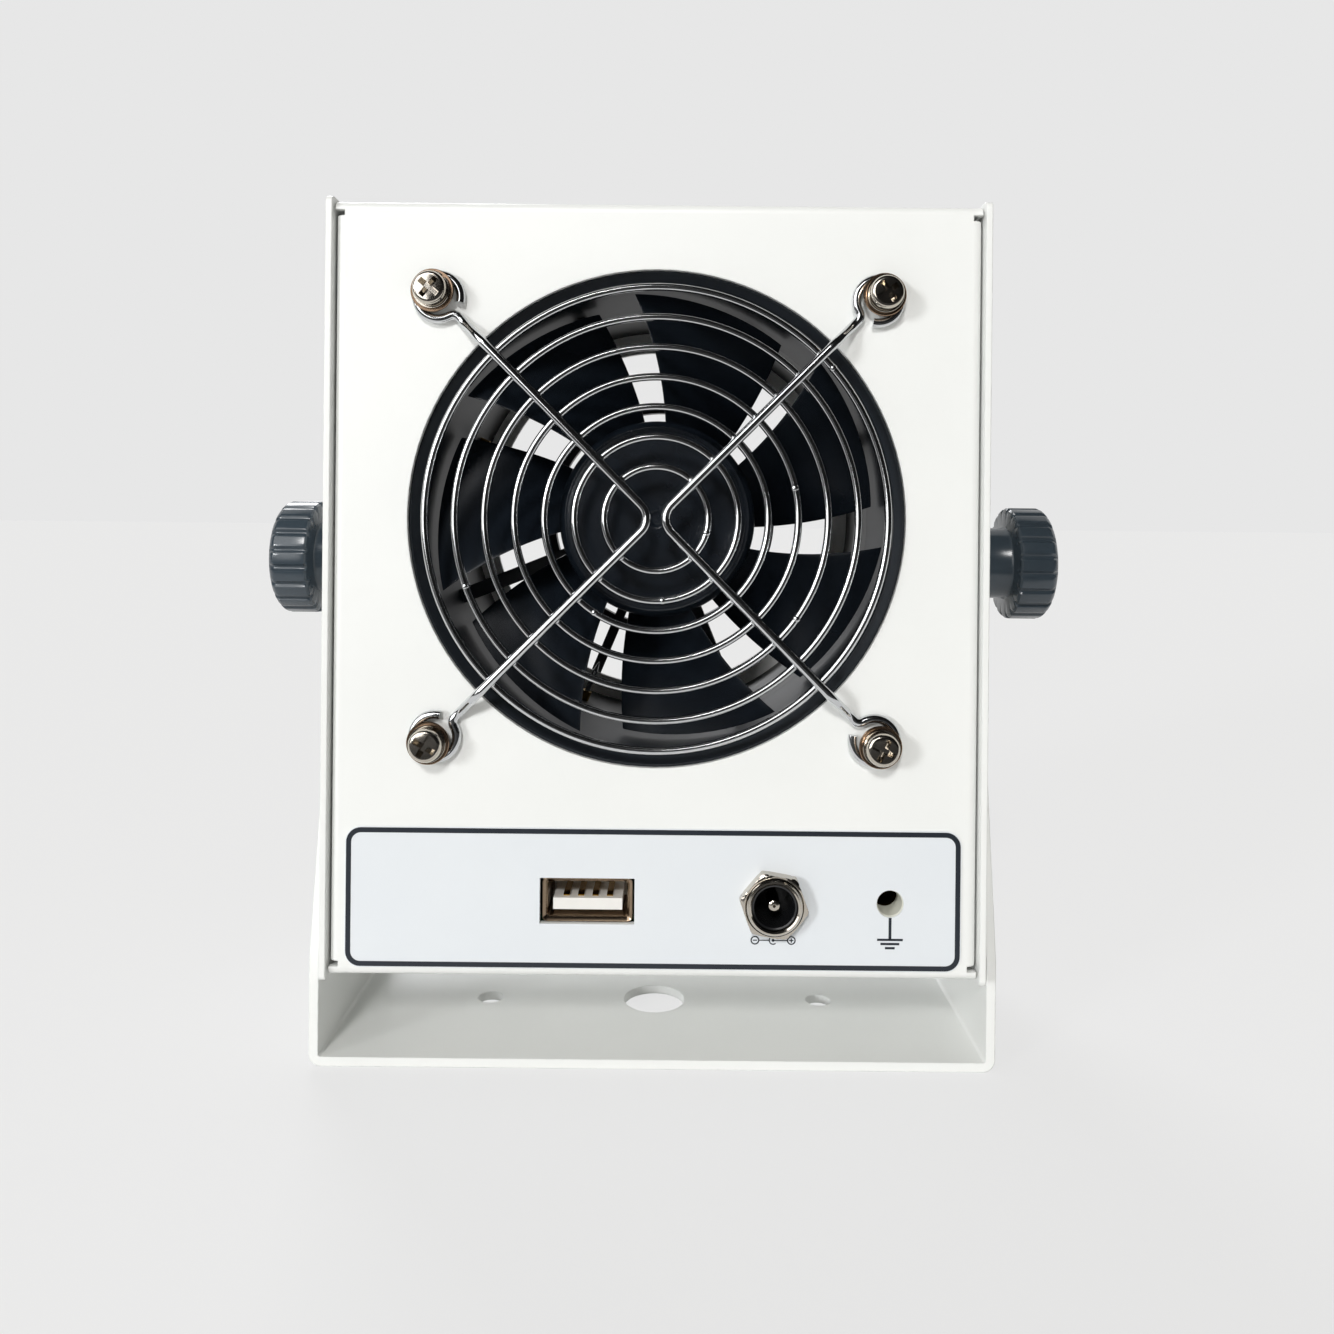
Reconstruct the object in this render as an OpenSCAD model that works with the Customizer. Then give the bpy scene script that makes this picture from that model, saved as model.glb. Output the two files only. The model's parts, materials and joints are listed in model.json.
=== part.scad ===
// Bench-top ionizing blower: a sheet-metal housing with an axial fan, held between
// the arms of a U-shaped stand by two clamp knobs.
// +X right as seen from the intake side, +Y towards the outlet, +Z up, millimetres.
// Origin: centre of the stand's centre hole, on the plane that the stand rests on.

/* [Housing] */
// Outer width over the two side plates
body_w = 106; // [102:1:130]
// Depth of the side plates, intake to outlet
body_d = 52; // [48:1:75]
// Height of the side plates
body_h = 125; // [120:1:160]
// Thickness of the side plates
plate_t = 1; // [0.8:0.1:2]
// Thickness of the folded rear shell and front panel
sheet_t = 1; // [0.8:0.1:1.5]
// Inside bend radius of the folded sheets
fold_r = 0.5; // [0.3:0.1:1.5]
// How far the side plates stand past the shell at the top and the bottom
plate_overlap = 0.6; // [0:0.1:2]
// How far the side plates stand past the rear and front panels
plate_proud = 0.8; // [0:0.1:1.5]
// Gap between the folded sheets and each side plate
plate_gap = 0.3; // [0.1:0.1:0.6]
// Width of the inner flanges that the side plates are screwed to
flange_w = 9; // [8:0.5:11]
// Distance of the side plate screws from the top and bottom edges
plate_screw_inset = 8; // [6:0.5:14]

/* [Stand] */
// Height of the housing's lower edge above the table
ground_gap = 15.5; // [12:0.5:30]
// Height of the tilt axis above the housing's lower edge
pivot_h = 66.5; // [60:0.5:75]
// Sheet thickness of the stand
stand_t = 1.5; // [1:0.1:3]
// Inside bend radius of the stand
stand_fold_r = 0.5; // [0.5:0.5:4]
// Width of the stand's sheet, front to back
stand_d = 44; // [36:1:60]
// Gap between a side plate and a stand arm
arm_gap = 1.3; // [1:0.1:4]
// Radius of the rounded arm ends
arm_tip_r = 9.5; // [8:0.5:14]
// Height at which the arms start to taper
arm_root_h = 18; // [3:0.5:24]
// Diameter of the large mounting hole in the base
centre_hole_d = 11; // [6:0.5:14]
// Diameter of the two small mounting holes in the base
side_hole_d = 4.5; // [3:0.1:6]
// Distance between the two small mounting holes
side_hole_pitch = 60; // [40:1:80]

/* [Clamp knobs] */
// Thread diameter of the clamp studs
stud_d = 5; // [4:0.5:6]
// Diameter of the knob's neck
knob_neck_d = 12.8; // [10:0.2:15]
// Length of the knob's neck
knob_neck_l = 5.4; // [3:0.2:8]
// Diameter of the fluted grip
knob_d = 20.2; // [17:0.2:26]
// Length of the fluted grip
knob_grip_l = 6.9; // [5:0.1:12]
// Number of flutes round the grip
knob_flutes = 20; // [12:1:28]
// How far the right knob is turned out, off its arm
right_knob_out = 2; // [0:0.1:3]

/* [Fan] */
// Depth of the fan frame
fan_depth = 25; // [24:0.5:32]
// Distance between the fan's mounting holes
fan_pitch = 71.5; // [66:0.5:80]
// Distance from the mounting holes to the edges of the fan's frame
fan_edge = 4.25; // [4:0.05:5]
// Thinnest wall between the air duct and the frame's edges
duct_wall = 1.75; // [1.5:0.05:3]
// Height of the fan axis above the housing's lower edge
fan_h = 74; // [70:0.5:78]
// How far the intake opening stands clear of the air duct all round
intake_lip = 1.55; // [0.5:0.05:1.6]
// Diameter of the rotor hub
hub_d = 32; // [30:0.5:38]
// Number of rotor blades
blade_count = 7; // [5:1:9]
// Gap between the blade tips and the duct
tip_gap = 0.8; // [0.4:0.1:2]
// Angle that one blade covers, seen along the axis
blade_span = 39; // [30:1:44]

/* [Wire guard] */
// Number of guard rings
guard_rings_n = 7; // [5:1:7]
// Radius of the innermost guard ring
guard_r0 = 8.2; // [6:0.1:9]
// Distance from the outermost guard ring to the edge of the intake
guard_margin = 3.3; // [2.5:0.1:5]
// Wire diameter of the rings
ring_wire = 1.2; // [0.8:0.1:1.5]
// Wire diameter of the two bent spokes
spoke_wire = 1.5; // [1:0.1:1.8]

/* [Sockets] */
// Height of the socket row above the housing's lower edge
port_h = 13; // [12:0.5:15]
// Distance from the socket label to the outer faces of the side plates
label_margin = 3.9; // [3:0.1:10]
// Height of the socket label
label_h = 22.4; // [20:0.2:23]
// Distance from the ground socket to the outer face of the right side plate
ground_inset = 15.2; // [14:0.1:18]
// Distance from the power socket to the ground socket
dc_spacing = 18.6; // [16:0.1:20]
// Distance from the USB socket to the power socket
usb_spacing = 29.7; // [26:0.1:34]
// Bore of the ground socket
ground_d = 4; // [3:0.1:4.5]

/* [Outlet and controls] */
// Distance from the grille's screws to its edges
grille_edge = 6.25; // [5:0.25:8]
// How far the grille's opening stands clear of the air duct all round
grille_lip = 0.25; // [0.05:0.05:0.7]
// Number of radial ribs in the grille
grille_ribs = 8; // [4:1:12]
// Number of emitter needles
needle_count = 8; // [4:4:8]
// Length of a needle that stands in the air stream
needle_reach = 8; // [4:0.5:12]
// Height of the control row above the housing's lower edge
control_h = 16; // [15:0.5:18]
// Distance from the switch and the speed control to the outer faces of the side plates
control_inset = 23; // [20:0.5:30]
// Diameter of the speed control's knob
speed_knob_d = 15; // [12:0.5:18]

/* [Hidden] */
$fn = 48;
eps = 0.01;                            // overshoot of a cut through a face
run = 0.05;                            // radial clearance of a piece that turns or passes through
white = "#f2f3f1";
black = "#1d1e20";
nickel = "#b9b4a8";
steel = "#c9ccce";

// Side plates and folded sheets
plate_x1 = body_w / 2;
plate_x0 = plate_x1 - plate_t;
shell_x = plate_x0 - plate_gap;
out_r = fold_r + sheet_t;
rear_y = -body_d / 2 + plate_proud;
rear_in = rear_y + sheet_t;
front_y = body_d / 2 - plate_proud;
front_in = front_y - sheet_t;
body_z0 = ground_gap;
body_z1 = body_z0 + body_h;
shell_z0 = body_z0 + plate_overlap;
shell_z1 = body_z1 - plate_overlap;
floor_z = shell_z0 + sheet_t;
tray_gap = 0.1;                        // front panel to the shell it nests in
tray_z0 = floor_z + tray_gap;
tray_z1 = shell_z1 - sheet_t - tray_gap;
relief = out_r + 0.9;                  // height of the corner cut-outs at the bends

// Side plate screws, M3 countersunk
csk_d = 5.6;
m3_d = 2.9;
m3_hole = 3.2;
plate_nut_l = 2.4;
plate_screw_y = flange_w / 2 + 0.5;    // from the panel's face to the screw

// Stand and pivot
arm_x0 = plate_x1 + arm_gap;
arm_x1 = arm_x0 + stand_t;
pivot_z = body_z0 + pivot_h;
pivot_hole = stud_d + 0.5;
pivot_nut_d = stud_d * 2;
pivot_nut_l = 5;
washer_gap = 0.05;
knob_gap = 0.1;                        // knob face to the arm when it is just tight
stud_seat = 4;                         // length of stud moulded into the knob

// Fan, in depths from its intake face
fan_z = body_z0 + fan_h;
fan_y0 = rear_in;
fan_y1 = fan_y0 + fan_depth;
fan_size = fan_pitch + 2 * fan_edge;
duct_r = fan_size / 2 - duct_wall;
intake_r = duct_r + intake_lip;
hub_r = hub_d / 2;
flange_t = 4;
base_t = 2;                            // motor base disc at the outlet face
strut_t = 3.5;
hub_d0 = 1.5;
hub_d1 = fan_depth - strut_t - 1;
hub_wall = 1.5;
magnet_t = 1.2;
shaft_r = 1.5;
tube_r = 5;
bearing_r = 4;
tube_d0 = 8;
stator_r = hub_r - hub_wall - magnet_t - 0.5;
board_t = 1;
blade_t = 1.3;
blade_d0 = hub_d0 + 1.2;
blade_d1 = hub_d1 - 1;
blade_turn = 45;                       // where the first gap between blades lies

// Guard, in heights from the rear panel's face
spoke_h0 = spoke_wire / 2;             // hooks lie on the panel
ring_h = 2.4;
guard_step = (intake_r - guard_margin - guard_r0) / (guard_rings_n - 1);
spoke_h1 = ring_h + (ring_wire + spoke_wire) / 2 + 0.02;
hook_r = 3.5;
hook_bend_r = 1.2;
hook_shift = 1.2;                      // hook centre to screw centre, towards the fan axis
apex_r = 3;
apex_gap = 1.5;                        // spoke apex to the fan axis
spoke_sides = 10;
washer_t = 0.5;
spring_t = 0.7;
head_h0 = spoke_wire + washer_t + spring_t;
guard_nut_t = 2.4;

// Sockets
port_z = body_z0 + port_h;
label_w = body_w - 2 * label_margin;
ground_x = plate_x1 - ground_inset;
dc_x = ground_x - dc_spacing;
usb_x = dc_x - usb_spacing;
label_t = 0.25;
label_r = 2.5;
usb_cut = [15.1, 7.3];
usb_shell_size = [13.3, 5.9];
usb_wall = 0.35;
usb_l = 14;
usb_recess = 0.5;
usb_tongue_size = [11.1, 1.84];
usb_tongue_drop = 0.95;                // tongue centre below the socket centre
dc_barrel_r = 4.4;
dc_bore_r = 3.15;
dc_pin_r = 1;
dc_proud = 2.9;
dc_nut_af = 10.6;
dc_nut_t = 2;
dc_body_l = 11;
ground_room = 3.2;                     // free space between ground socket and high-voltage module
ground_wall = 2;
ground_clear = 0.18;
ground_neck_r = 3;                     // the socket's neck fills the hole in the panel

// High-voltage module, screwed to the floor
hv_size = [34, 20, 21];
hv_ear = 4.5;
hv_ear_t = 2;
hv_inset = 23;
hv_gap = 0.7;
hv_x = plate_x1 - hv_inset;
hv_y = front_y - flange_w - hv_gap - hv_ear - hv_size[1] / 2;
ground_l = hv_y - hv_size[1] / 2 - rear_in - ground_room;

// Control board on its spacers in the foot of the housing, and the parts it carries
board_z1 = port_z - usb_shell_size[1] / 2;
board_thick = 1.6;
board_inset = 7;
board_gap = 5;
board_l = 27;
board_z0 = board_z1 - board_thick;
board_x0 = board_inset - plate_x1;
board_x1 = hv_x - hv_size[0] / 2 - board_gap;
board_y0 = rear_in + 1.2;
board_y1 = board_y0 + board_l;
cap_r = 4;
cap_h = 11;
cap_inset = 10;
cap_y = rear_in + usb_l + cap_r + 2;    // the tall parts stand behind the USB socket
coil_size = [12, 8, 6];
plug_size = [3, 10, 5];
chip_size = [8, 6, 2.4];
board_hole_inset = 4;
board_screw_d = 2.4;
board_holes = [for (x = [board_x0 + board_hole_inset, board_x1 - board_hole_inset],
                    y = [board_y0 + board_hole_inset, board_y1 - board_hole_inset]) [x, y]];

// Emitter frame and outlet
needle_r = 0.5;
socket_r = 1;
socket_l = 6;
pilot_d = 2.6;
grille_size = fan_pitch + 2 * grille_edge;
grille_r = duct_r + grille_lip;
grille_t = 4;
grille_web = 1.5;
grille_rib = 2;
grille_boss_r = 7;
grille_ring_step = 16.5;
outlet_r = duct_r - 4;                 // hole in the front panel behind the grille

// Controls on the front panel
control_z = body_z0 + control_h;
speed_x = plate_x1 - control_inset;
switch_x = control_inset - plate_x1;
switch_bezel = [21, 15];
switch_body_size = [18.6, 12.6];
rocker_size = [16.4, 10.4];
rocker_gap = 0.4;
rocker_tilt = 8;
rocker_pin_r = 0.8;
pot_r = 8.2;
pot_l = 8;
bush_r = 3.5;
bush_l = 4;
pot_shaft_r = 3;
speed_knob_l = 10;
led_r = 1.5;

// ---------------------------------------------------------------- placing and profiles

// Local +Z points to the rear, local +Y up: for what sits on the rear panel
module rearward(x, y, z) { translate([x, y, z]) rotate([90, 0, 0]) children(); }

// Local +Z points to the front: for what sits on the front panel
module frontward(x, y, z) { translate([x, y, z]) rotate([-90, 0, 0]) children(); }

// Local +Z points outwards on the side given by s, which is -1 or 1
module sideward(s, x, y, z) { translate([s * x, y, z]) rotate([0, s * 90, 0]) children(); }

// Extrudes a profile drawn in Y and Z across the width w
module along_x(w) { translate([-w / 2, 0, 0]) rotate([90, 0, 90]) linear_extrude(w) children(); }

// Extrudes a profile drawn in X and Z over the depth d
module along_y(d) { translate([0, d / 2, 0]) rotate([90, 0, 0]) linear_extrude(d) children(); }

module at_corners(pitch) {
    for (sx = [-1, 1], sy = [-1, 1]) translate([sx * pitch / 2, sy * pitch / 2, 0]) children();
}

// Rectangle with round corners, given by its edges
module round_rect(u0, u1, v0, v1, r) {
    translate([u0 + r, v0]) square([u1 - u0 - 2 * r, v1 - v0]);
    translate([u0, v0 + r]) square([u1 - u0, v1 - v0 - 2 * r]);
    for (u = [u0 + r, u1 - r], v = [v0 + r, v1 - r]) translate([u, v]) circle(r);
}

module round_square(a, r) { round_rect(-a / 2, a / 2, -a / 2, a / 2, r); }

module tube(r1, r0, h) {
    difference() {
        cylinder(r = r1, h = h);
        translate([0, 0, -1]) cylinder(r = r0, h = h + 2);
    }
}

module hex_nut(af, r0, h) {
    difference() {
        cylinder(d = af / cos(30), h = h, $fn = 6);
        translate([0, 0, -1]) cylinder(r = r0, h = h + 2);
    }
}

// Cross recess for a screw head, cut downwards from z = 0
module cross_recess(a, depth) {
    for (r = [0, 90]) rotate(r) translate([-a / 2, -a / 8, -depth]) cube([a, a / 4, depth + 1]);
}

// Low domed head of a pan screw standing on z = 0
module pan_head(d, h) {
    difference() {
        rotate_extrude() {
            square([d / 2 - 0.6, h]);
            square([d / 2, h - 0.6]);
            translate([d / 2 - 0.6, h - 0.6]) circle(0.6);
        }
        translate([0, 0, h]) cross_recess(d * 0.55, h * 0.55);
    }
}

// ---------------------------------------------------------------- stand and knobs

// Side outline of the stand: straight foot, tapered arm, round end about the tilt axis
module arm_outline() {
    dy = stand_d / 2;
    dz = arm_root_h - pivot_z;
    turn = atan2(dz, dy) + acos(arm_tip_r / norm([dy, dz]));
    ty = arm_tip_r * cos(turn);
    tz = pivot_z + arm_tip_r * sin(turn);
    polygon([[-dy, -1], [dy, -1], [dy, arm_root_h], [ty, tz], [-ty, tz], [-dy, arm_root_h]]);
    translate([0, pivot_z]) circle(arm_tip_r);
}

module stand_bracket() {
    r1 = stand_fold_r + stand_t;
    top = pivot_z + arm_tip_r + 10;
    color(white) difference() {
        intersection() {
            along_y(stand_d) difference() {
                round_rect(-arm_x1, arm_x1, 0, top, r1);
                round_rect(-arm_x0, arm_x0, stand_t, top + 10, stand_fold_r);
            }
            along_x(2 * arm_x1 + 2) arm_outline();
        }
        translate([0, 0, -1]) cylinder(d = centre_hole_d, h = stand_t + 2);
        for (s = [-1, 1]) translate([s * side_hole_pitch / 2, 0, -1])
            cylinder(d = side_hole_d, h = stand_t + 2);
        for (s = [-1, 1]) sideward(s, arm_x0 - 1, 0, pivot_z) cylinder(d = pivot_hole, h = stand_t + 2);
    }
}

module spacer_washers() {
    color("#e4e4dc") for (s = [-1, 1]) sideward(s, plate_x1 + washer_gap, 0, pivot_z)
        tube(knob_neck_d / 2, stud_d / 2 + 2 * run, arm_gap - 2 * washer_gap);
}

// Knob: smooth neck, fluted grip with a chamfered rim, dished end
function turned_out(s) = s > 0 ? right_knob_out : 0;
function knob_x(s) = arm_x1 + knob_gap + turned_out(s);

module knob(s) {
    r = knob_d / 2;
    n = knob_neck_d / 2;
    l = knob_neck_l + knob_grip_l;
    c = 1.3;
    color("#39424a") sideward(s, knob_x(s), 0, pivot_z) difference() {
        rotate_extrude() polygon([[0, 0], [n, 0], [n, knob_neck_l], [r - 0.5, knob_neck_l],
            [r, knob_neck_l + 0.5], [r, l - c], [r - c, l], [r - 3.4, l], [r - 4, l - 0.8], [0, l - 0.8]]);
        for (i = [0:knob_flutes - 1]) rotate(360 * i / knob_flutes)
            translate([r + 0.15, 0, knob_neck_l - 1]) cylinder(r = 0.6, h = knob_grip_l + 2, $fn = 16);
        translate([0, 0, -1]) cylinder(d = stud_d, h = stud_seat + 1);
    }
}

module stud(s) {
    x0 = plate_x0 - pivot_nut_l - 0.5 + turned_out(s);
    color(nickel) sideward(s, x0, 0, pivot_z)
        cylinder(d = stud_d, h = knob_x(s) + stud_seat - x0);
}

// ---------------------------------------------------------------- housing

module rear_shell() {
    shell_h = shell_z1 - shell_z0;
    color(white) difference() {
        union() {
            difference() {
                along_x(2 * shell_x) intersection() {
                    difference() {
                        round_rect(rear_y, front_y + 20, shell_z0, shell_z1, out_r);
                        round_rect(rear_in, front_y + 40, floor_z, shell_z1 - sheet_t, fold_r);
                    }
                    translate([rear_y - 1, shell_z0 - 1]) square([front_y - rear_y + 1, shell_h + 2]);
                }
                for (s = [-1, 1]) translate([s * shell_x, rear_y, shell_z0 + shell_h / 2])
                    cube([2 * out_r, 4 * sheet_t, shell_h - 2 * relief + 1.8], center = true);
            }
            translate([0, 0, shell_z0 + relief]) linear_extrude(shell_h - 2 * relief) flange_plan();
        }
        rearward(0, rear_in + 1, fan_z) cylinder(r = intake_r, h = sheet_t + 2, $fn = 96);
        rearward(0, rear_in + 1, fan_z) at_corners(fan_pitch) cylinder(d = m3_hole, h = sheet_t + 2);
        rearward(0, rear_in + 1, port_z) linear_extrude(sheet_t + 2)
            port_cutouts(ground_neck_r + run);
        side_screw_places("rear") cylinder(r = m3_d / 2 + run, h = 3 * sheet_t, center = true);
        for (s = [-1, 1]) translate([hv_x, hv_y + s * hv_hole_y(), shell_z0 - 1])
            cylinder(r = board_screw_d / 2 + run, h = sheet_t + 2);
    }
}

// Plan of the two flanges folded forwards from the rear panel, with their bends
module flange_plan() {
    intersection() {
        difference() {
            round_rect(-shell_x, shell_x, rear_y, rear_y + 40, out_r);
            round_rect(sheet_t - shell_x, shell_x - sheet_t, rear_in, rear_y + 60, fold_r);
        }
        for (s = [-1, 1]) translate([s * shell_x, rear_y + flange_w / 2])
            square([2 * out_r, flange_w], center = true);
    }
}

// The openings for the three sockets, seen from the rear
module port_cutouts(ground_hole_r) {
    translate([usb_x - usb_cut[0] / 2, -usb_cut[1] / 2]) square(usb_cut);
    translate([dc_x, 0]) circle(dc_barrel_r + 2 * run);
    translate([ground_x, 0]) circle(ground_hole_r);
}

// Children stand on the axis of each side screw, at the flanges' outer face
module side_screw_places(end) {
    y = end == "rear" ? rear_y + plate_screw_y : front_y - plate_screw_y;
    for (s = [-1, 1], z = [body_z0 + plate_screw_inset, body_z1 - plate_screw_inset])
        sideward(s, shell_x, y, z) children();
}

module front_panel() {
    h = tray_z1 - tray_z0;
    color(white) difference() {
        tray_block(0, out_r);
        tray_block(sheet_t, fold_r);
        translate([-body_w, -body_d, 0]) cube([2 * body_w, body_d + front_y - flange_w, body_z1 + 10]);
        frontward(0, front_in - 1, fan_z) cylinder(r = outlet_r, h = sheet_t + 2, $fn = 96);
        frontward(0, front_in - 1, fan_z) at_corners(fan_pitch) cylinder(d = m3_hole, h = sheet_t + 2);
        frontward(switch_x, front_in - 1, control_z) linear_extrude(sheet_t + 2)
            square([switch_body_size[0] + 0.2, switch_body_size[1] + 0.2], center = true);
        frontward(speed_x, front_in - 1, control_z) cylinder(r = bush_r + run, h = sheet_t + 2);
        frontward(0, front_in - 1, control_z) cylinder(r = led_r + run, h = sheet_t + 2);
        side_screw_places("front") cylinder(r = m3_d / 2 + run, h = 3 * sheet_t, center = true);
    }
}

// The front panel's outer form, shrunk by t on every side but the open rear
module tray_block(t, r) {
    back = front_y - flange_w - 20;
    intersection() {
        translate([0, 0, tray_z0 + t]) linear_extrude(tray_z1 - tray_z0 - 2 * t)
            round_rect(t - shell_x, shell_x - t, back, front_y - t, r);
        along_x(2 * shell_x - 2 * t) round_rect(back, front_y - t, tray_z0 + t, tray_z1 - t, r);
    }
}

module side_plate(s) {
    color(white) difference() {
        translate([s * (plate_x0 + plate_x1) / 2, 0, 0])
            along_x(plate_t) round_rect(-body_d / 2, body_d / 2, body_z0, body_z1, 1);
        sideward(s, plate_x0 - 1, 0, pivot_z) cylinder(r = stud_d / 2 + 2 * run, h = plate_t + 2);
        side_screw_heads(s, run);
        side_screw_holes(s);
    }
}

// Children stand on the outer face of plate s, on the axis of each of its screws
module at_plate_screws(s) {
    for (y = [rear_y + plate_screw_y, front_y - plate_screw_y],
         z = [body_z0 + plate_screw_inset, body_z1 - plate_screw_inset])
        sideward(s, plate_x1, y, z) children();
}

// Countersunk heads, just below flush, or deeper by g to cut their seats
module side_screw_heads(s, g) {
    cone_h = (csk_d - m3_hole) / 2;
    at_plate_screws(s) translate([0, 0, -cone_h - run - g]) cylinder(d1 = m3_hole, d2 = csk_d, h = cone_h);
}

module side_screw_holes(s) {
    at_plate_screws(s) {
        translate([0, 0, -2 * plate_t]) cylinder(d = m3_hole, h = 3 * plate_t);
        translate([0, 0, -2 * run - eps]) cylinder(d = csk_d, h = plate_t);
    }
}

module side_screws() {
    shank_l = plate_t + plate_gap + sheet_t + plate_nut_l;
    color(steel) for (s = [-1, 1]) difference() {
        union() {
            side_screw_heads(s, 0);
            at_plate_screws(s) translate([0, 0, -shank_l]) cylinder(d = m3_d, h = shank_l - 0.5);
        }
        at_plate_screws(s) translate([0, 0, -run]) cross_recess(2.6, 0.7);
    }
}

module plate_nuts() {
    color(nickel) for (end = ["rear", "front"]) side_screw_places(end)
        translate([0, 0, -sheet_t - plate_nut_l]) tube(3, m3_d / 2 + run, plate_nut_l);
}

module pivot_nuts() {
    color(nickel) for (s = [-1, 1]) sideward(s, plate_x0 - pivot_nut_l, 0, pivot_z)
        tube(pivot_nut_d / 2, stud_d / 2 + run, pivot_nut_l);
}

// ---------------------------------------------------------------- wire guard

module guard_rings() {
    color(steel) rearward(0, rear_y, fan_z) for (i = [0:guard_rings_n - 1])
        translate([0, 0, ring_h]) rotate_extrude($fn = 96)
            translate([guard_r0 + i * guard_step, 0]) circle(d = ring_wire, $fn = 24);
}

function arc(c, r, a0, a1, n) = [for (i = [0:n]) let (a = a0 + (a1 - a0) * i / n)
    [c[0] + r * cos(a), c[1] + r * sin(a)]];

function reversed(p) = [for (i = [len(p) - 1:-1:0]) p[i]];

function unit(v) = v / norm(v);

// Distance from the fan axis to the centre of a hook
hook_reach = fan_pitch / 2 * sqrt(2) - hook_shift;

// Height of the spoke over the panel at distance q from the fan axis
ramp0 = guard_r0 + (guard_rings_n - 1) * guard_step + ring_wire + 1;
ramp1 = hook_reach - hook_r - hook_bend_r;
function spoke_height(q) = let (k = min(1, max(0, (q - ramp0) / (ramp1 - ramp0))))
    spoke_h1 + (spoke_h0 - spoke_h1) * k * k * (3 - 2 * k);

// One arm of a spoke from its apex to the free end of its hook, which winds clockwise
function spoke_arm(side) =
    let (a = side * 45,
         s0 = sqrt(hook_r * hook_r + 2 * hook_r * hook_bend_r),
         a0 = atan2(hook_bend_r, s0),
         straight = [for (i = [0:10]) [hook_reach - ramp0 + (s0 - hook_reach + ramp0) * i / 10, 0]],
         bend = arc([s0, hook_bend_r], hook_bend_r, -90, a0 - 180, 5),
         loop = arc([0, 0], hook_r, a0 + 12, a0 + 314, 25),
         flat = concat(straight, [for (i = [1:5]) bend[i]], loop))
    [for (p = flat) let (x = (p[0] - hook_reach) * cos(a) + p[1] * sin(a),
                         y = (p[0] - hook_reach) * sin(a) - p[1] * cos(a))
        [x, y, spoke_height(norm([x, y]))]];

spoke_path = let (c = [-apex_gap - apex_r, 0])
    concat(reversed(spoke_arm(-1)),
           [for (p = arc(c, apex_r, 44, -44, 10)) [p[0], p[1], spoke_h1]],
           spoke_arm(1));

// Round wire swept along a path that never runs along local Z
module wire(path, d, sides) {
    n = len(path);
    rings = [for (i = [0:n - 1])
        let (t = unit(path[min(i + 1, n - 1)] - path[max(i - 1, 0)]),
             u = unit(cross(t, [0, 0, 1])),
             v = cross(u, t))
        for (k = [0:sides - 1]) path[i] + d / 2 * (cos(360 * k / sides) * u + sin(360 * k / sides) * v)];
    walls = [for (i = [0:n - 2], k = [0:sides - 1]) let (m = (k + 1) % sides)
        [i * sides + k, i * sides + m, (i + 1) * sides + m, (i + 1) * sides + k]];
    ends = [[for (k = [sides - 1:-1:0]) k], [for (k = [0:sides - 1]) (n - 1) * sides + k]];
    polyhedron(points = rings, faces = concat(walls, ends), convexity = 6);
}

module guard_spokes() {
    color(steel) rearward(0, rear_y, fan_z) for (turn = [0, 180])
        rotate(turn) wire(spoke_path, spoke_wire, spoke_sides);
}

module guard_washers() {
    color("#a48c74") rearward(0, rear_y, fan_z) at_corners(fan_pitch)
        translate([0, 0, spoke_wire]) tube(3.4, m3_hole / 2, washer_t);
}

module guard_spring_washers() {
    color(nickel) rearward(0, rear_y, fan_z) at_corners(fan_pitch)
        translate([0, 0, spoke_wire + washer_t]) difference() {
            tube(2.95, m3_hole / 2, spring_t);
            rotate(20) translate([0, -0.3, -1]) cube([5, 0.6, spring_t + 2]);
        }
}

module guard_screws() {
    shank_l = head_h0 + sheet_t + flange_t + guard_nut_t + 0.8;
    color(nickel) rearward(0, rear_y, fan_z) at_corners(fan_pitch) translate([0, 0, head_h0]) {
        pan_head(5.3, 2);
        translate([0, 0, -shank_l]) cylinder(d = m3_d, h = shank_l);
    }
}

module guard_nuts() {
    color(nickel) rearward(0, rear_y, fan_z) at_corners(fan_pitch)
        translate([0, 0, -sheet_t - flange_t - guard_nut_t]) hex_nut(5.5, m3_d / 2 + run, guard_nut_t);
}

// ---------------------------------------------------------------- fan

// Local frame of the fan: origin on its intake face, depth d lies at z = -d
module in_fan() { rearward(0, fan_y0, fan_z) children(); }

module fan_ring(r1, r0, d0, d1) { translate([0, 0, -d1]) tube(r1, r0, d1 - d0); }

module fan_frame() {
    color(black) in_fan() difference() {
        union() {
            for (d = [flange_t, fan_depth]) translate([0, 0, -d])
                linear_extrude(flange_t) round_square(fan_size, 4);
            translate([0, 0, -fan_depth]) cylinder(r = fan_size / 2 - 0.4, h = fan_depth, $fn = 96);
        }
        difference() {
            translate([0, 0, -fan_depth - 1]) cylinder(r = duct_r, h = fan_depth + 2, $fn = 96);
            motor_mount();
        }
        translate([0, 0, -1.2]) cylinder(r1 = duct_r, r2 = duct_r + 1.3, h = 1.3, $fn = 96);
        at_corners(fan_pitch) translate([0, 0, -fan_depth - 1]) cylinder(d = 4.3, h = fan_depth + 2);
    }
}

// Base disc, four struts and the tube that holds the bearings
module motor_mount() {
    difference() {
        union() {
            translate([0, 0, -fan_depth]) cylinder(r = hub_r + 0.5, h = base_t);
            for (a = [22:90:292]) rotate(a) translate([hub_r - 0.5, -1.3, -fan_depth])
                cube([duct_r - hub_r + 1, 2.6, strut_t]);
            translate([0, 0, -fan_depth]) cylinder(r = tube_r, h = fan_depth - tube_d0);
        }
        translate([0, 0, base_t - fan_depth]) cylinder(r = bearing_r, h = fan_depth);
    }
}

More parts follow.
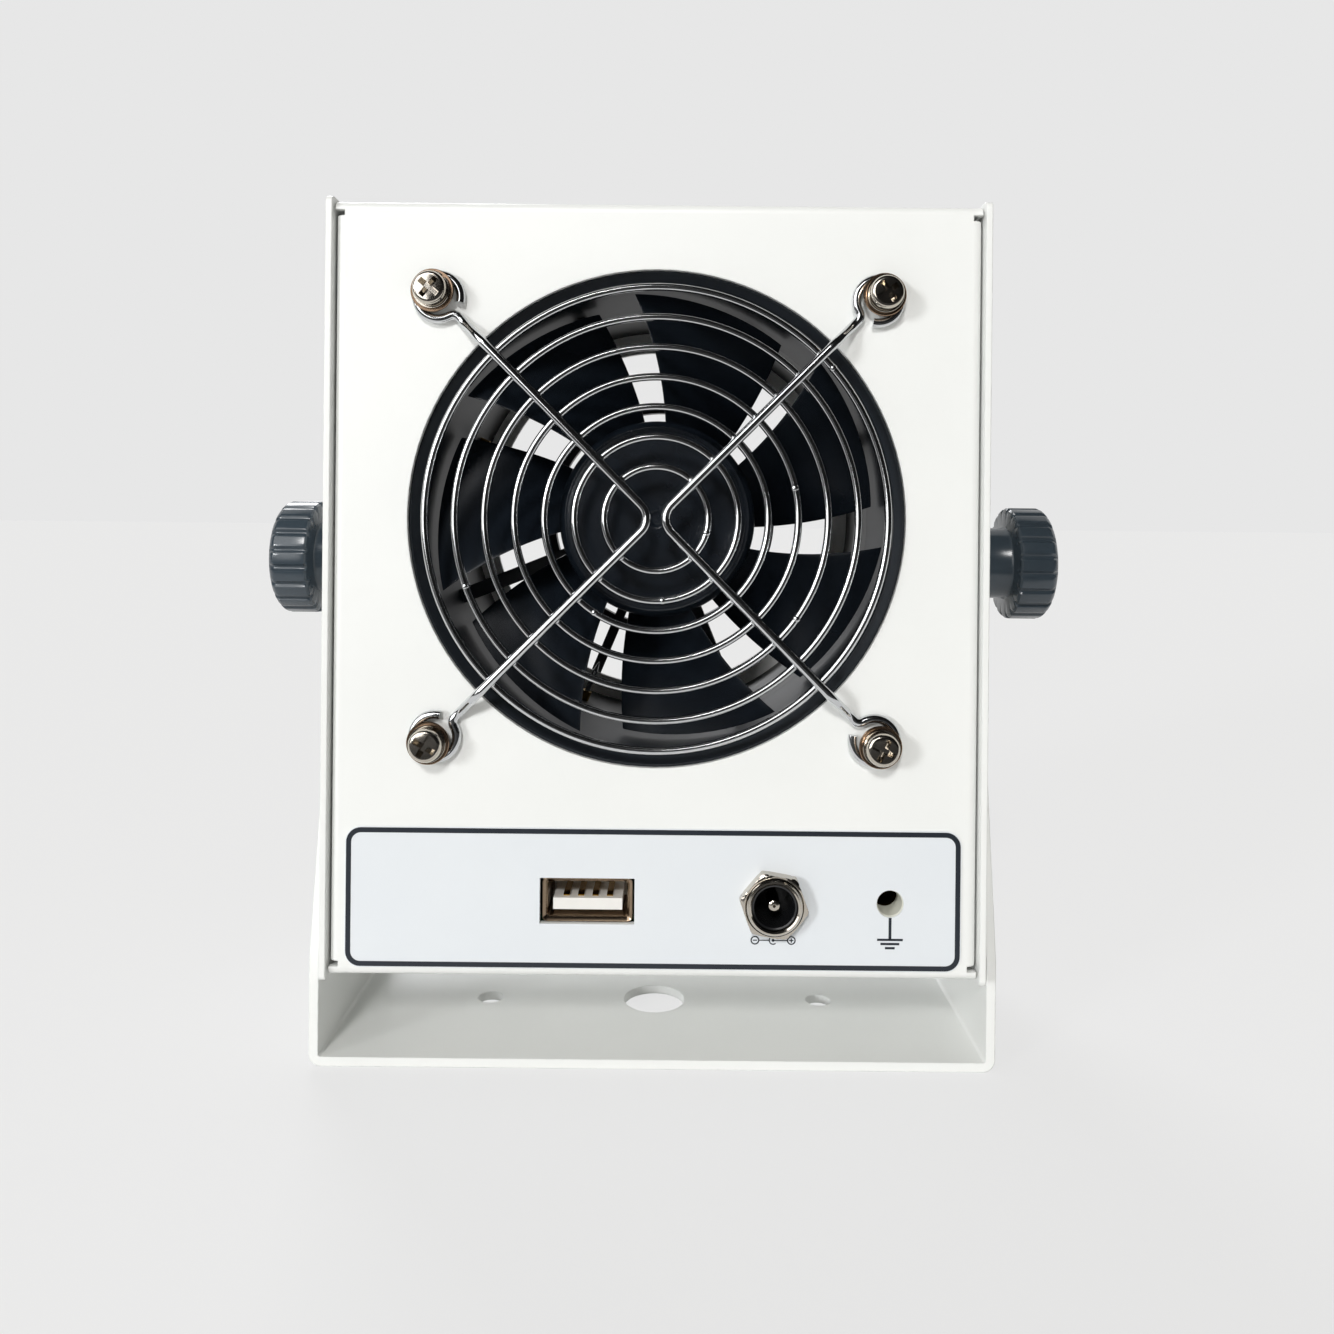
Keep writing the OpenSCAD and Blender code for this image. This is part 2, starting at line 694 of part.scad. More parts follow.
// Hub cup with a rounded nose, the shaft boss inside it, and the blades
module fan_rotor() {
    nose = 2;
    color(black) in_fan() {
        difference() {
            union() {
                rotate_extrude($fn = 96) {
                    translate([0, -hub_d1]) square([hub_r - nose, hub_d1 - hub_d0]);
                    translate([0, -hub_d1]) square([hub_r, hub_d1 - hub_d0 - nose]);
                    translate([hub_r - nose, -hub_d0 - nose]) circle(nose);
                }
                for (i = [0:blade_count - 1]) rotate(blade_turn + 360 * (i + 0.5) / blade_count) blade();
            }
            difference() {
                translate([0, 0, -hub_d1 - 1]) cylinder(r = hub_r - hub_wall, h = hub_d1 - hub_d0 - 1);
                translate([0, 0, -tube_d0 + 1]) cylinder(r = 3.5, h = 10);
            }
            translate([0, 0, -tube_d0]) cylinder(r = shaft_r, h = tube_d0 - hub_d0 - 2);
        }
    }
}

// One blade: cambered sections from hub to tip, pitched less and swept more outwards
blade_sections = 6;
blade_cuts = 8;

function blade_point(i, k, side) =
    let (f = i / blade_sections,
         r = hub_r - 0.8 + (duct_r - tip_gap - hub_r + 0.8) * f,
         t = k / blade_cuts,
         span = blade_span + 2 * f,
         a = 10 * f - 5 + span * (0.5 - t),
         inset = 3 * f,
         d = blade_d0 + inset + (blade_d1 - blade_d0 - 2 * inset) * (t + 0.1 * sin(180 * t)),
         half = (0.25 + 0.75 * sin(180 * t)) * blade_t * (1 - 0.35 * f))
    [r * cos(a), r * sin(a), -d - side * half];

module blade() {
    loop = 2 * blade_cuts + 2;
    pts = [for (i = [0:blade_sections]) each concat(
        [for (k = [0:blade_cuts]) blade_point(i, k, -1)],
        [for (k = [blade_cuts:-1:0]) blade_point(i, k, 1)])];
    skin = [for (i = [0:blade_sections - 1], k = [0:loop - 1]) let (m = (k + 1) % loop)
        each [[i * loop + k, (i + 1) * loop + k, (i + 1) * loop + m],
              [i * loop + k, (i + 1) * loop + m, i * loop + m]]];
    ends = [for (k = [0:blade_cuts - 1], i = [0, blade_sections])
        let (p = i * loop + k, q = p + 1, u = i * loop + loop - 1 - k, v = u - 1)
        each i == 0 ? [[p, q, v], [p, v, u]] : [[p, v, q], [p, u, v]]];
    polyhedron(points = pts, faces = concat(skin, ends), convexity = 4);
}

module rotor_magnet() {
    color("#55585c") in_fan() fan_ring(hub_r - hub_wall, hub_r - hub_wall - magnet_t, 5, hub_d1 - 1);
}

module rotor_shaft() {
    d0 = hub_d0 + 2;
    color(steel) in_fan() translate([0, 0, -fan_depth + base_t + 0.4])
        cylinder(r = shaft_r, h = fan_depth - base_t - 0.4 - d0);
}

module fan_bearings() {
    color(steel) in_fan() for (d = [tube_d0 + 0.3, fan_depth - base_t - 4])
        fan_ring(bearing_r, shaft_r + run / 2, d, d + 3);
}

stator_d0 = tube_d0 + 2.5;
stator_l = hub_d1 - stator_d0 - 3.5;

// Four-pole lamination stack on the bearing tube
module fan_stator() {
    color("#7d8186") in_fan() translate([0, 0, -stator_d0 - stator_l]) difference() {
        union() {
            cylinder(r = tube_r + 1.5, h = stator_l);
            for (a = [0:90:270]) rotate(a) translate([0, -1.4, 0]) cube([stator_r - 1, 2.8, stator_l]);
            intersection() {
                tube(stator_r, stator_r - 1.4, stator_l);
                for (a = [0, 90]) rotate(a) translate([-stator_r, -4.5, -1])
                    cube([2 * stator_r, 9, stator_l + 2]);
            }
        }
        translate([0, 0, -1]) cylinder(r = tube_r + run, h = stator_l + 2);
    }
}

// Copper windings round the four poles
module fan_coils() {
    c = 1.1;
    x0 = tube_r + 1.7;
    x1 = stator_r - 2.2;
    color("#b4622d") in_fan() for (a = [0:90:270]) rotate(a)
        translate([x0, 0, -stator_d0 - stator_l]) difference() {
            translate([0, -1.4 - c, -c]) cube([x1 - x0, 2.8 + 2 * c, stator_l + 2 * c]);
            translate([-1, -1.4, 0]) cube([x1 - x0 + 2, 2.8, stator_l]);
        }
}

module fan_board() {
    color("#2f6b45") in_fan()
        fan_ring(hub_r - 2, tube_r + run, fan_depth - base_t - board_t, fan_depth - base_t);
}

// ---------------------------------------------------------------- emitters and outlet

emitter_l = front_in - fan_y1;
needle_turn = 180 / needle_count;

// Square duct between the fan and the front panel, bored for the needle sockets
module emitter_frame() {
    color(black) frontward(0, fan_y1, fan_z) difference() {
        linear_extrude(emitter_l) round_square(fan_size, 4);
        translate([0, 0, -1]) cylinder(r = duct_r, h = emitter_l + 2, $fn = 96);
        at_corners(fan_pitch) translate([0, 0, emitter_l - 12]) cylinder(r = pilot_d / 2 + run, h = 13);
        for (i = [0:needle_count - 1]) rotate(needle_turn + 360 * i / needle_count)
            translate([duct_r - 2, 0, emitter_l / 2]) rotate([0, 90, 0])
                cylinder(r = socket_r, h = socket_l + 0.5);
    }
}

// Children lie along a radius, with z = 0 on the duct wall and +Z outwards
module at_needles() {
    frontward(0, fan_y1, fan_z) for (i = [0:needle_count - 1])
        rotate(needle_turn + 360 * i / needle_count)
            translate([duct_r, 0, emitter_l / 2]) rotate([0, 90, 0]) children();
}

module needle_sockets() {
    color("#c8a24a") at_needles() translate([0, 0, -1.8]) tube(socket_r, needle_r, socket_l);
}

module emitter_needles() {
    color(steel) at_needles() {
        translate([0, 0, 2 - needle_reach]) cylinder(r = needle_r, h = needle_reach);
        translate([0, 0, -needle_reach]) cylinder(r1 = 0.05, r2 = needle_r, h = 2);
    }
}

module outlet_grille() {
    web_r = grille_r + 0.6;
    color(black) frontward(0, front_y, fan_z) difference() {
        union() {
            linear_extrude(grille_t) difference() {
                round_square(grille_size, 7);
                circle(r = grille_r, $fn = 96);
            }
            translate([0, 0, 0.6]) linear_extrude(2.6) {
                circle(grille_boss_r);
                for (r = [grille_boss_r + grille_ring_step:grille_ring_step:grille_r - 3])
                    difference() {
                        circle(r, $fn = 96);
                        circle(r - grille_web, $fn = 96);
                    }
                for (i = [0:grille_ribs - 1]) rotate(360 * (i + 0.5) / grille_ribs)
                    translate([grille_boss_r - 1, -grille_rib / 2])
                        square([web_r - grille_boss_r + 1, grille_rib]);
            }
        }
        at_corners(fan_pitch) {
            translate([0, 0, -1]) cylinder(d = m3_hole, h = grille_t + 2);
            translate([0, 0, grille_t - 2.2]) cylinder(d = 6.2, h = 4);
        }
    }
}

module grille_screws() {
    z0 = grille_t - 2.2;
    shank_l = z0 + sheet_t + 9;
    color(nickel) frontward(0, front_y, fan_z) at_corners(fan_pitch) translate([0, 0, z0]) {
        pan_head(5.3, 2);
        translate([0, 0, -shank_l]) cylinder(d = pilot_d, h = shank_l);
    }
}

// ---------------------------------------------------------------- sockets on the rear panel

module port_label() {
    label_drop = (label_h / 2 + 1.6 + plate_overlap) - port_h;
    color("#e9eef4") rearward(0, rear_y, port_z) linear_extrude(label_t) difference() {
        round_rect(-label_w / 2, label_w / 2, label_drop - label_h / 2, label_drop + label_h / 2, label_r);
        port_cutouts(ground_d / 2 + ground_clear);
    }
}

module usb_shell() {
    w = usb_shell_size[0];
    h = usb_shell_size[1];
    color(nickel) frontward(usb_x, rear_y + usb_recess, port_z) difference() {
        translate([-w / 2, -h / 2, 0]) cube([w, h, usb_l]);
        translate([usb_wall - w / 2, usb_wall - h / 2, -1])
            cube([w - 2 * usb_wall, h - 2 * usb_wall, usb_l - usb_wall + 1]);
    }
}

// Insulator: block at the back of the socket with the tongue in front of it
module usb_tongue() {
    w = usb_shell_size[0] - 2 * usb_wall;
    h = usb_shell_size[1] - 2 * usb_wall;
    block_l = 4;
    color("#f4f4f0") frontward(usb_x, rear_y + usb_recess, port_z) {
        translate([-w / 2, -h / 2, usb_l - usb_wall - block_l]) cube([w, h, block_l]);
        translate([-usb_tongue_size[0] / 2, usb_tongue_drop - usb_tongue_size[1] / 2, 0.8])
            cube([usb_tongue_size[0], usb_tongue_size[1], usb_l - usb_wall - block_l]);
    }
}

module usb_contacts() {
    y = usb_tongue_drop - usb_tongue_size[1] / 2;
    color("#c9a45a") frontward(usb_x, rear_y + usb_recess, port_z) for (x = [-3.5, -1, 1, 3.5])
        translate([x - 0.5, y - 0.25, 1.8]) cube([1, 0.25, usb_l - usb_wall - 5.8]);
}

module dc_jack_body() {
    color(nickel) rearward(dc_x, rear_y, port_z) difference() {
        union() {
            translate([0, 0, -sheet_t - dc_body_l]) cylinder(r = dc_barrel_r + 1.6, h = dc_body_l);
            translate([0, 0, -sheet_t - dc_body_l]) cylinder(r = dc_barrel_r, h = dc_body_l + sheet_t + dc_proud - 0.4);
            translate([0, 0, dc_proud - 0.4]) cylinder(r1 = dc_barrel_r, r2 = dc_barrel_r - 0.4, h = 0.4);
        }
        translate([0, 0, -dc_body_l + 1]) cylinder(r = dc_barrel_r - 0.7, h = dc_body_l + dc_proud);
    }
}

module dc_jack_liner() {
    z0 = 1 - dc_body_l;
    color(black) rearward(dc_x, rear_y, port_z) difference() {
        translate([0, 0, z0]) cylinder(r = dc_barrel_r - 0.7, h = dc_proud - 0.6 - z0);
        translate([0, 0, z0 + 1.5]) cylinder(r = dc_bore_r, h = dc_body_l + dc_proud);
        translate([0, 0, z0 - 1]) cylinder(r = dc_pin_r, h = 4);
    }
}

module dc_jack_pin() {
    z0 = 1 - dc_body_l;
    color(steel) rearward(dc_x, rear_y, port_z) {
        translate([0, 0, z0]) cylinder(r = dc_pin_r, h = dc_proud - 1.6 - z0);
        translate([0, 0, dc_proud - 1.6]) cylinder(r1 = dc_pin_r, r2 = dc_pin_r - 0.4, h = 0.4);
    }
}

module dc_jack_nut() {
    color(nickel) rearward(dc_x, rear_y, port_z) translate([0, 0, label_t]) rotate(20)
        hex_nut(dc_nut_af, dc_barrel_r + run, dc_nut_t);
}

module ground_socket() {
    color("#c8a24a") rearward(ground_x, rear_in, port_z) {
        translate([0, 0, -eps]) tube(ground_neck_r, ground_d / 2, sheet_t + eps);
        translate([0, 0, -1]) tube(ground_d / 2 + ground_wall + 1, ground_d / 2, 1);
        translate([0, 0, -ground_l]) tube(ground_d / 2 + ground_wall, ground_d / 2, ground_l - 1 + eps);
    }
}

// ---------------------------------------------------------------- electronics in the foot

module control_board() {
    color("#2f6b45") difference() {
        translate([board_x0, board_y0, board_z0])
            cube([board_x1 - board_x0, board_y1 - board_y0, board_thick]);
        for (p = board_holes) translate([p[0], p[1], board_z0 - 1])
            cylinder(r = board_screw_d / 2 + run, h = board_thick + 2);
    }
}

module board_components() {
    y1 = board_y1 - 1;
    x = board_x0 + cap_inset;
    color("#2b2f38") {
        for (i = [0, 1]) translate([x + i * (2 * cap_r + 1), cap_y, board_z1])
            cylinder(r = cap_r, h = cap_h);
        translate([x + 4 * cap_r, y1 - coil_size[1], board_z1]) cube(coil_size);
        translate([board_x0 + 2, board_y0 + board_hole_inset + 4, board_z1]) cube(plug_size);
        translate([board_x1 - 2 - chip_size[0], y1 - board_hole_inset - 9, board_z1]) cube(chip_size);
    }
}

module board_spacers() {
    color(nickel) for (p = board_holes) translate([p[0], p[1], floor_z])
        tube(2.75, board_screw_d / 2 + run, board_z0 - floor_z);
}

module board_screws() {
    color(steel) for (p = board_holes) translate([p[0], p[1], board_z1]) {
        pan_head(4.6, 1.8);
        translate([0, 0, -board_thick - 4.5]) cylinder(d = board_screw_d, h = board_thick + 4.5);
    }
}

function hv_hole_y() = hv_size[1] / 2 + hv_ear / 2;

module hv_module() {
    color("#23262b") translate([hv_x, hv_y, floor_z]) difference() {
        union() {
            translate([-hv_size[0] / 2, -hv_size[1] / 2, 0]) cube(hv_size);
            for (s = [-1, 1]) translate([-5, s * hv_hole_y() - hv_ear / 2, 0]) cube([10, hv_ear, hv_ear_t]);
        }
        for (s = [-1, 1]) translate([0, s * hv_hole_y(), -1])
            cylinder(r = board_screw_d / 2 + run, h = hv_ear_t + 2);
    }
}

module hv_screws() {
    color(steel) for (s = [-1, 1]) translate([hv_x, hv_y + s * hv_hole_y(), floor_z + hv_ear_t]) {
        pan_head(4.2, 1.6);
        translate([0, 0, -hv_ear_t - sheet_t]) cylinder(d = board_screw_d, h = hv_ear_t + sheet_t);
    }
}

// ---------------------------------------------------------------- controls on the front panel

rocker_axis = -0.5;                    // height of the rocker's axis over the front panel
rocker_well = 4.5;

module switch_body() {
    cavity = [rocker_size[0] + 2 * rocker_gap, rocker_size[1] + 2 * rocker_gap];
    color(black) frontward(switch_x, front_y, control_z) difference() {
        union() {
            linear_extrude(2) round_rect(-switch_bezel[0] / 2, switch_bezel[0] / 2,
                                         -switch_bezel[1] / 2, switch_bezel[1] / 2, 1);
            translate([-switch_body_size[0] / 2, -switch_body_size[1] / 2, -14])
                cube([switch_body_size[0], switch_body_size[1], 14.5]);
        }
        translate([-cavity[0] / 2, -cavity[1] / 2, -rocker_well]) cube([cavity[0], cavity[1], 10]);
        translate([0, 0, rocker_axis]) rotate([90, 0, 0])
            cylinder(r = rocker_pin_r + run, h = cavity[1] + 1, center = true);
    }
}

// Shallow V-topped rocker on two stub pins, drawn pressed to its off side
module switch_rocker() {
    a = rocker_size[0] / 2;
    color("#26282b") frontward(switch_x, front_y, control_z) translate([0, 0, rocker_axis])
        rotate([90, rocker_tilt, 0]) {
            translate([0, 0, -rocker_size[1] / 2]) linear_extrude(rocker_size[1])
                polygon([[-a + 0.5, -0.8], [-a, 2.6], [-a + 0.6, 3.6], [0, 2.4], [a - 0.6, 3.6],
                         [a, 2.6], [a - 0.5, -0.8], [3, -2.6], [-3, -2.6]]);
            cylinder(r = rocker_pin_r, h = rocker_size[1] + 2 * rocker_gap + 0.6, center = true);
        }
}

module speed_pot() {
    color("#6d7278") frontward(speed_x, front_y, control_z) difference() {
        union() {
            translate([0, 0, -sheet_t - pot_l]) cylinder(r = pot_r, h = pot_l);
            translate([0, 0, -sheet_t - 1]) cylinder(r = bush_r, h = sheet_t + 1 + bush_l);
        }
        translate([0, 0, -sheet_t - pot_l + 2]) cylinder(r = pot_shaft_r + run, h = 40);
    }
}

module speed_pot_nut() {
    color(nickel) frontward(speed_x, front_y, control_z) hex_nut(10, bush_r + run, 2);
}

speed_knob_z = bush_l + 0.4;

module speed_shaft() {
    z0 = -sheet_t - pot_l + 2.2;
    color(steel) frontward(speed_x, front_y, control_z) translate([0, 0, z0])
        cylinder(r = pot_shaft_r, h = speed_knob_z + 7 - z0);
}

module speed_knob() {
    r = speed_knob_d / 2;
    color(black) frontward(speed_x, front_y, control_z) translate([0, 0, speed_knob_z]) difference() {
        rotate_extrude() polygon([[0, 0], [r, 0], [r, 1.5], [r - 0.6, 2], [r - 1, speed_knob_l - 0.8],
                                  [r - 1.8, speed_knob_l], [0, speed_knob_l]]);
        for (i = [0:17]) rotate(20 * i) translate([r + 0.1, 0, 2.2]) cylinder(r = 0.8, h = 20, $fn = 16);
        translate([-0.4, -r, speed_knob_l - 0.5]) cube([0.8, r - 1, 2]);
        translate([0, 0, -1]) cylinder(r = pot_shaft_r, h = 8);
    }
}

module status_led() {
    color("#a8d8b0") frontward(0, front_y, control_z) {
        translate([0, 0, -sheet_t - 3]) cylinder(r = led_r + 0.4, h = 3);
        translate([0, 0, -sheet_t - 1]) cylinder(r = led_r, h = sheet_t + 1.4);
        translate([0, 0, 0.4]) sphere(led_r);
    }
}

// ---------------------------------------------------------------- nodes

stand_bracket();
spacer_washers();
rear_shell();
front_panel();
side_plate(-1);  // left_side_plate
side_plate(1);  // right_side_plate
side_screws();
plate_nuts();
pivot_nuts();
knob(-1);  // left_knob
stud(-1);  // left_stud
knob(1);  // right_knob
stud(1);  // right_stud
guard_rings();
guard_spokes();
guard_washers();
guard_spring_washers();
guard_screws();
guard_nuts();
fan_frame();
fan_rotor();
rotor_magnet();
rotor_shaft();
fan_bearings();
fan_stator();
fan_coils();
fan_board();
emitter_frame();
needle_sockets();
emitter_needles();
outlet_grille();
grille_screws();
port_label();
usb_shell();
usb_tongue();
usb_contacts();
dc_jack_body();
dc_jack_liner();
dc_jack_pin();
dc_jack_nut();
ground_socket();
control_board();
board_components();
board_spacers();
board_screws();
hv_module();
hv_screws();
switch_body();
switch_rocker();
speed_pot();
speed_pot_nut();
speed_shaft();
speed_knob();
status_led();
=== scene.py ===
import json
import math

import bmesh
import bpy
from mathutils import Matrix, Vector


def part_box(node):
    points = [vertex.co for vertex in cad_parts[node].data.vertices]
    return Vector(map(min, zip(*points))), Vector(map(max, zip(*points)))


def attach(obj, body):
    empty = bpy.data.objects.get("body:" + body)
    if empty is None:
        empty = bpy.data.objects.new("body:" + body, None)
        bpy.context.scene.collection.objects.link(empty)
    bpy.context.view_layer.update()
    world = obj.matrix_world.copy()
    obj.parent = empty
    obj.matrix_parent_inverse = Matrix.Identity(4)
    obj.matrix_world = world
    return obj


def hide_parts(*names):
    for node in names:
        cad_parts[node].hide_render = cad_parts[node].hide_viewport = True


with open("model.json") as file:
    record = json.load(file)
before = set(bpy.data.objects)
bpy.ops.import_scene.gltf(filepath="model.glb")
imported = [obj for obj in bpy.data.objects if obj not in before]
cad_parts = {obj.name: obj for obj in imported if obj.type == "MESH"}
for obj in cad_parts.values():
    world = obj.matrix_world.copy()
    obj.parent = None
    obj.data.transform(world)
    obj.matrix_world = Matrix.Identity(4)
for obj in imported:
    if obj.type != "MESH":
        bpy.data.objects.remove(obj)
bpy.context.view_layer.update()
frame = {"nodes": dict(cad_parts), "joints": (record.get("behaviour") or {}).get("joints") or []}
nodes = frame["nodes"]
scene = bpy.context.scene
scene.view_settings.view_transform = "Standard"


# ---- Camera ---------------------------------------------------------------
# A shift lens 168 mm from the rear panel, square to it and level with the fan,
# with a slight roll. The shift frames the blower with more room below it.

rear_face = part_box("rear_shell")[0].y
fan_low, fan_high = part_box("guard_rings")
fan_z = (fan_low.z + fan_high.z) / 2
lens_mm = 28.42
view_distance = 0.168
roll = math.radians(0.55)

camera = bpy.data.objects.new("camera", bpy.data.cameras.new("camera"))
camera.data.sensor_width = 36
camera.data.lens = lens_mm
camera.data.shift_x = -0.0063
camera.data.shift_y = -0.1109
camera.data.clip_start = 0.01
camera.matrix_world = (
    Matrix.Translation((0.003, rear_face - view_distance, fan_z))
    @ Matrix.Rotation(math.pi / 2, 4, "X")
    @ Matrix.Rotation(roll, 4, "Z")
)
scene.collection.objects.link(camera)
scene.camera = camera


# ---- Stand ----------------------------------------------------------------
# One strip of steel sheet, cut, bent to a U and powder coated white. Nylon
# washers keep its arms off the side plates.


def srgb(code):
    """The linear colour of an sRGB hex value such as #f1f2f0."""
    parts = [int(code[i:i + 2], 16) / 255 for i in (1, 3, 5)]
    return [p / 12.92 if p <= 0.04045 else ((p + 0.055) / 1.055) ** 2.4 for p in parts] + [1]


def add(tree, kind, inputs=None, **settings):
    """Adds a node. An input is a value, or the output of another node."""
    made = tree.nodes.new(kind)
    for name, value in settings.items():
        setattr(made, name, value)
    for name, value in (inputs or {}).items():
        if isinstance(value, bpy.types.NodeSocket):
            tree.links.new(value, made.inputs[name])
        else:
            made.inputs[name].default_value = value
    return made


def finish(name, colour, patches, patch_mm, grain_mm, grain_depth_mm, edge_mm=0, **constants):
    """A finish of two close colours in soft patches, with a fine surface grain and softened edges."""
    made = bpy.data.materials.new(name)
    made.use_nodes = True
    tree = made.node_tree
    shader = tree.nodes["Principled BSDF"]
    for key, value in constants.items():
        shader.inputs[key.replace("_", " ")].default_value = value
    place = add(tree, "ShaderNodeTexCoord").outputs["Object"]
    mottle = add(tree, "ShaderNodeTexNoise", {"Vector": place, "Scale": 1000 / patch_mm, "Detail": 3})
    tint = add(tree, "ShaderNodeMix", {0: mottle.outputs[0], 6: srgb(colour), 7: srgb(patches)},
               data_type="RGBA")
    tree.links.new(tint.outputs[2], shader.inputs["Base Color"])
    grain = add(tree, "ShaderNodeTexNoise", {"Vector": place, "Scale": 1000 / grain_mm, "Detail": 2})
    bump = add(tree, "ShaderNodeBump", {"Height": grain.outputs[0], "Distance": grain_depth_mm / 1000})
    if edge_mm:
        edge = add(tree, "ShaderNodeBevel", {"Radius": edge_mm / 1000}, samples=4)
        tree.links.new(edge.outputs[0], bump.inputs["Normal"])
    tree.links.new(bump.outputs[0], shader.inputs["Normal"])
    return made


def dress(material, *names):
    """Gives CAD nodes their finish."""
    for name in names:
        nodes[name].data.materials.clear()
        nodes[name].data.materials.append(material)


# Polyester powder coat: bright white, half gloss, with a faint orange peel of about 1.6 mm.
powder_coat = finish("white powder coat", "#f0f1ef", "#e9ebe9", 24, 1.6, 0.012, edge_mm=0.35,
                     Roughness=0.38, IOR=1.5)
# Natural nylon: milky, soft sheen.
nylon = finish("natural nylon", "#dcdcd2", "#cfcfc4", 6, 0.8, 0.01, Roughness=0.45, IOR=1.53)
dress(powder_coat, "stand_bracket")
dress(nylon, "spacer_washers")


# ---- Housing sheets -------------------------------------------------------
# A folded rear shell and a folded front panel between two flat side plates,
# all powder coated like the stand.

dress(powder_coat, "rear_shell", "front_panel", "left_side_plate", "right_side_plate")


# ---- Side screws and clinch nuts -------------------------------------------
# Zinc plated countersunk screws hold the side plates; round clinch nuts sit
# behind the flanges, and larger ones take the clamp studs.

# Bright zinc plate on steel: pale blue-grey metal with cloudy passivation.
zinc = finish("bright zinc plate", "#c4c8cb", "#aeb2b4", 1.5, 0.3, 0.004, Metallic=1.0, Roughness=0.3)
# Bright nickel plate: warm, mirror-like, slightly wavy from the metal below.
nickel = finish("bright nickel plate", "#cfc9bf", "#b9b1a5", 2.5, 0.9, 0.006, Metallic=1.0, Roughness=0.12)
dress(zinc, "side_screws", "plate_nuts")
dress(nickel, "pivot_nuts", "left_stud", "right_stud", "guard_nuts")


# ---- Clamp knobs ----------------------------------------------------------
# Two moulded knobs with a smooth neck and a grip of broad ridges between
# narrow flutes. Each screws its stud into a nut behind the side plate.


def turned(profile, steps=64, shape=None, ring=False):
    """Turns (radius, height) points in millimetres about local Z; shape alters a radius by angle."""
    bm = bmesh.new()
    rows = []
    for radius, height in profile:
        row = []
        for k in range(steps if radius else 1):
            angle = 2 * math.pi * k / steps
            reach = shape(angle, radius, height) if shape and radius else radius
            row.append(bm.verts.new((reach * math.cos(angle), reach * math.sin(angle), height)))
        rows.append(row)
    for low, high in zip(rows, rows[1:] + rows[:1] if ring else rows[1:]):
        for k in range(steps):
            after = k + 1
            corners = [low[k % len(low)], low[after % len(low)], high[after % len(high)], high[k % len(high)]]
            bm.faces.new(list(dict.fromkeys(corners)))
    bmesh.ops.recalc_face_normals(bm, faces=bm.faces)
    return bm


def piece(name, bm, place, body, material, sharp=32):
    """Makes a shape drawn in millimetres into a piece at its place on a body."""
    bmesh.ops.transform(bm, matrix=place @ Matrix.Scale(0.001, 4), verts=bm.verts)
    mesh = bpy.data.meshes.new(name)
    bm.to_mesh(mesh)
    bm.free()
    mesh.shade_smooth()
    mesh.set_sharp_from_angle(angle=math.radians(sharp))
    mesh.materials.append(material)
    made = bpy.data.objects.new(name, mesh)
    scene.collection.objects.link(made)
    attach(made, body)
    return made


def sideways(side, x, z):
    """Local Z points outwards on the side given by -1 or 1."""
    return Matrix.Translation((x, 0, z)) @ Matrix.Rotation(side * math.pi / 2, 4, "Y")


# Glossy blue-black ABS: dark slate, sharp highlights, faint flow marks from the mould.
slate_plastic = finish("blue-black ABS", "#39434b", "#313a42", 5, 1.2, 0.006, Roughness=0.2, IOR=1.54)
ridges = 20
grip_radius = 10.1
flute_depth = 0.5
flute_half_width = 0.62


def grip_flutes(angle, radius, height):
    """Cuts narrow round flutes into the grip, fading out at its rims."""
    if radius < grip_radius - 1.3 or height < 5.3:
        return radius
    across = abs((angle * ridges / (2 * math.pi)) % 1 - 0.5) * 2 * math.pi * grip_radius / ridges
    fade = min(1, (radius - grip_radius + 1.5) / 0.8)
    return radius - flute_depth * max(0, 1 - (across / flute_half_width) ** 2) * fade


knob_profile = [(0, 0), (6.0, 0), (6.4, 0.4), (6.4, 4.8), (6.6, 5.2), (7.1, 5.4), (9.3, 5.4), (9.75, 5.5),
                (10.05, 5.8), (10.1, 6.2), (10.1, 10.9), (9.95, 11.3), (9.5, 11.8), (9.1, 12.1), (8.6, 12.3),
                (7.0, 12.3), (6.6, 12.15), (6.2, 11.6), (5.9, 11.5), (0, 11.5)]
for side, word in ((-1, "left"), (1, "right")):
    low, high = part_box(word + "_knob")
    inner = low.x if side == 1 else high.x
    knob = piece(word + "_knob_moulding", turned(knob_profile, ridges * 16, grip_flutes),
                 sideways(side, inner, (low.z + high.z) / 2), word + "_clamp", slate_plastic)
    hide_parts(word + "_knob")


# ---- Finger guard ---------------------------------------------------------
# Round steel wire, bent, spot welded and chrome plated: seven rings on two
# V-shaped spokes, whose ends wind into hooks round the fan screws.


def rearward(x, y, z):
    """Local Z points out of the rear panel, local X to the right, local Y up."""
    return Matrix.Translation((x, y, z)) @ Matrix.Rotation(math.pi / 2, 4, "X")


def new_tree(name, **sockets):
    """Starts a geometry tree with named inputs; returns it with its input node."""
    tree = bpy.data.node_groups.new(name, "GeometryNodeTree")
    tree.interface.new_socket("Geometry", in_out="INPUT", socket_type="NodeSocketGeometry")
    for label, kind in sockets.items():
        tree.interface.new_socket(label.replace("_", " "), in_out="INPUT", socket_type="NodeSocket" + kind)
    tree.interface.new_socket("Material", in_out="INPUT", socket_type="NodeSocketMaterial")
    tree.interface.new_socket("Geometry", in_out="OUTPUT", socket_type="NodeSocketGeometry")
    return tree, tree.nodes.new("NodeGroupInput").outputs


def end_tree(tree, shape, inputs):
    """Ends a geometry tree in real mesh with its material."""
    real = add(tree, "GeometryNodeRealizeInstances", {0: shape})
    coated = add(tree, "GeometryNodeSetMaterial", {"Geometry": real.outputs[0], "Material": inputs["Material"]})
    add(tree, "NodeGroupOutput", {0: coated.outputs[0]})


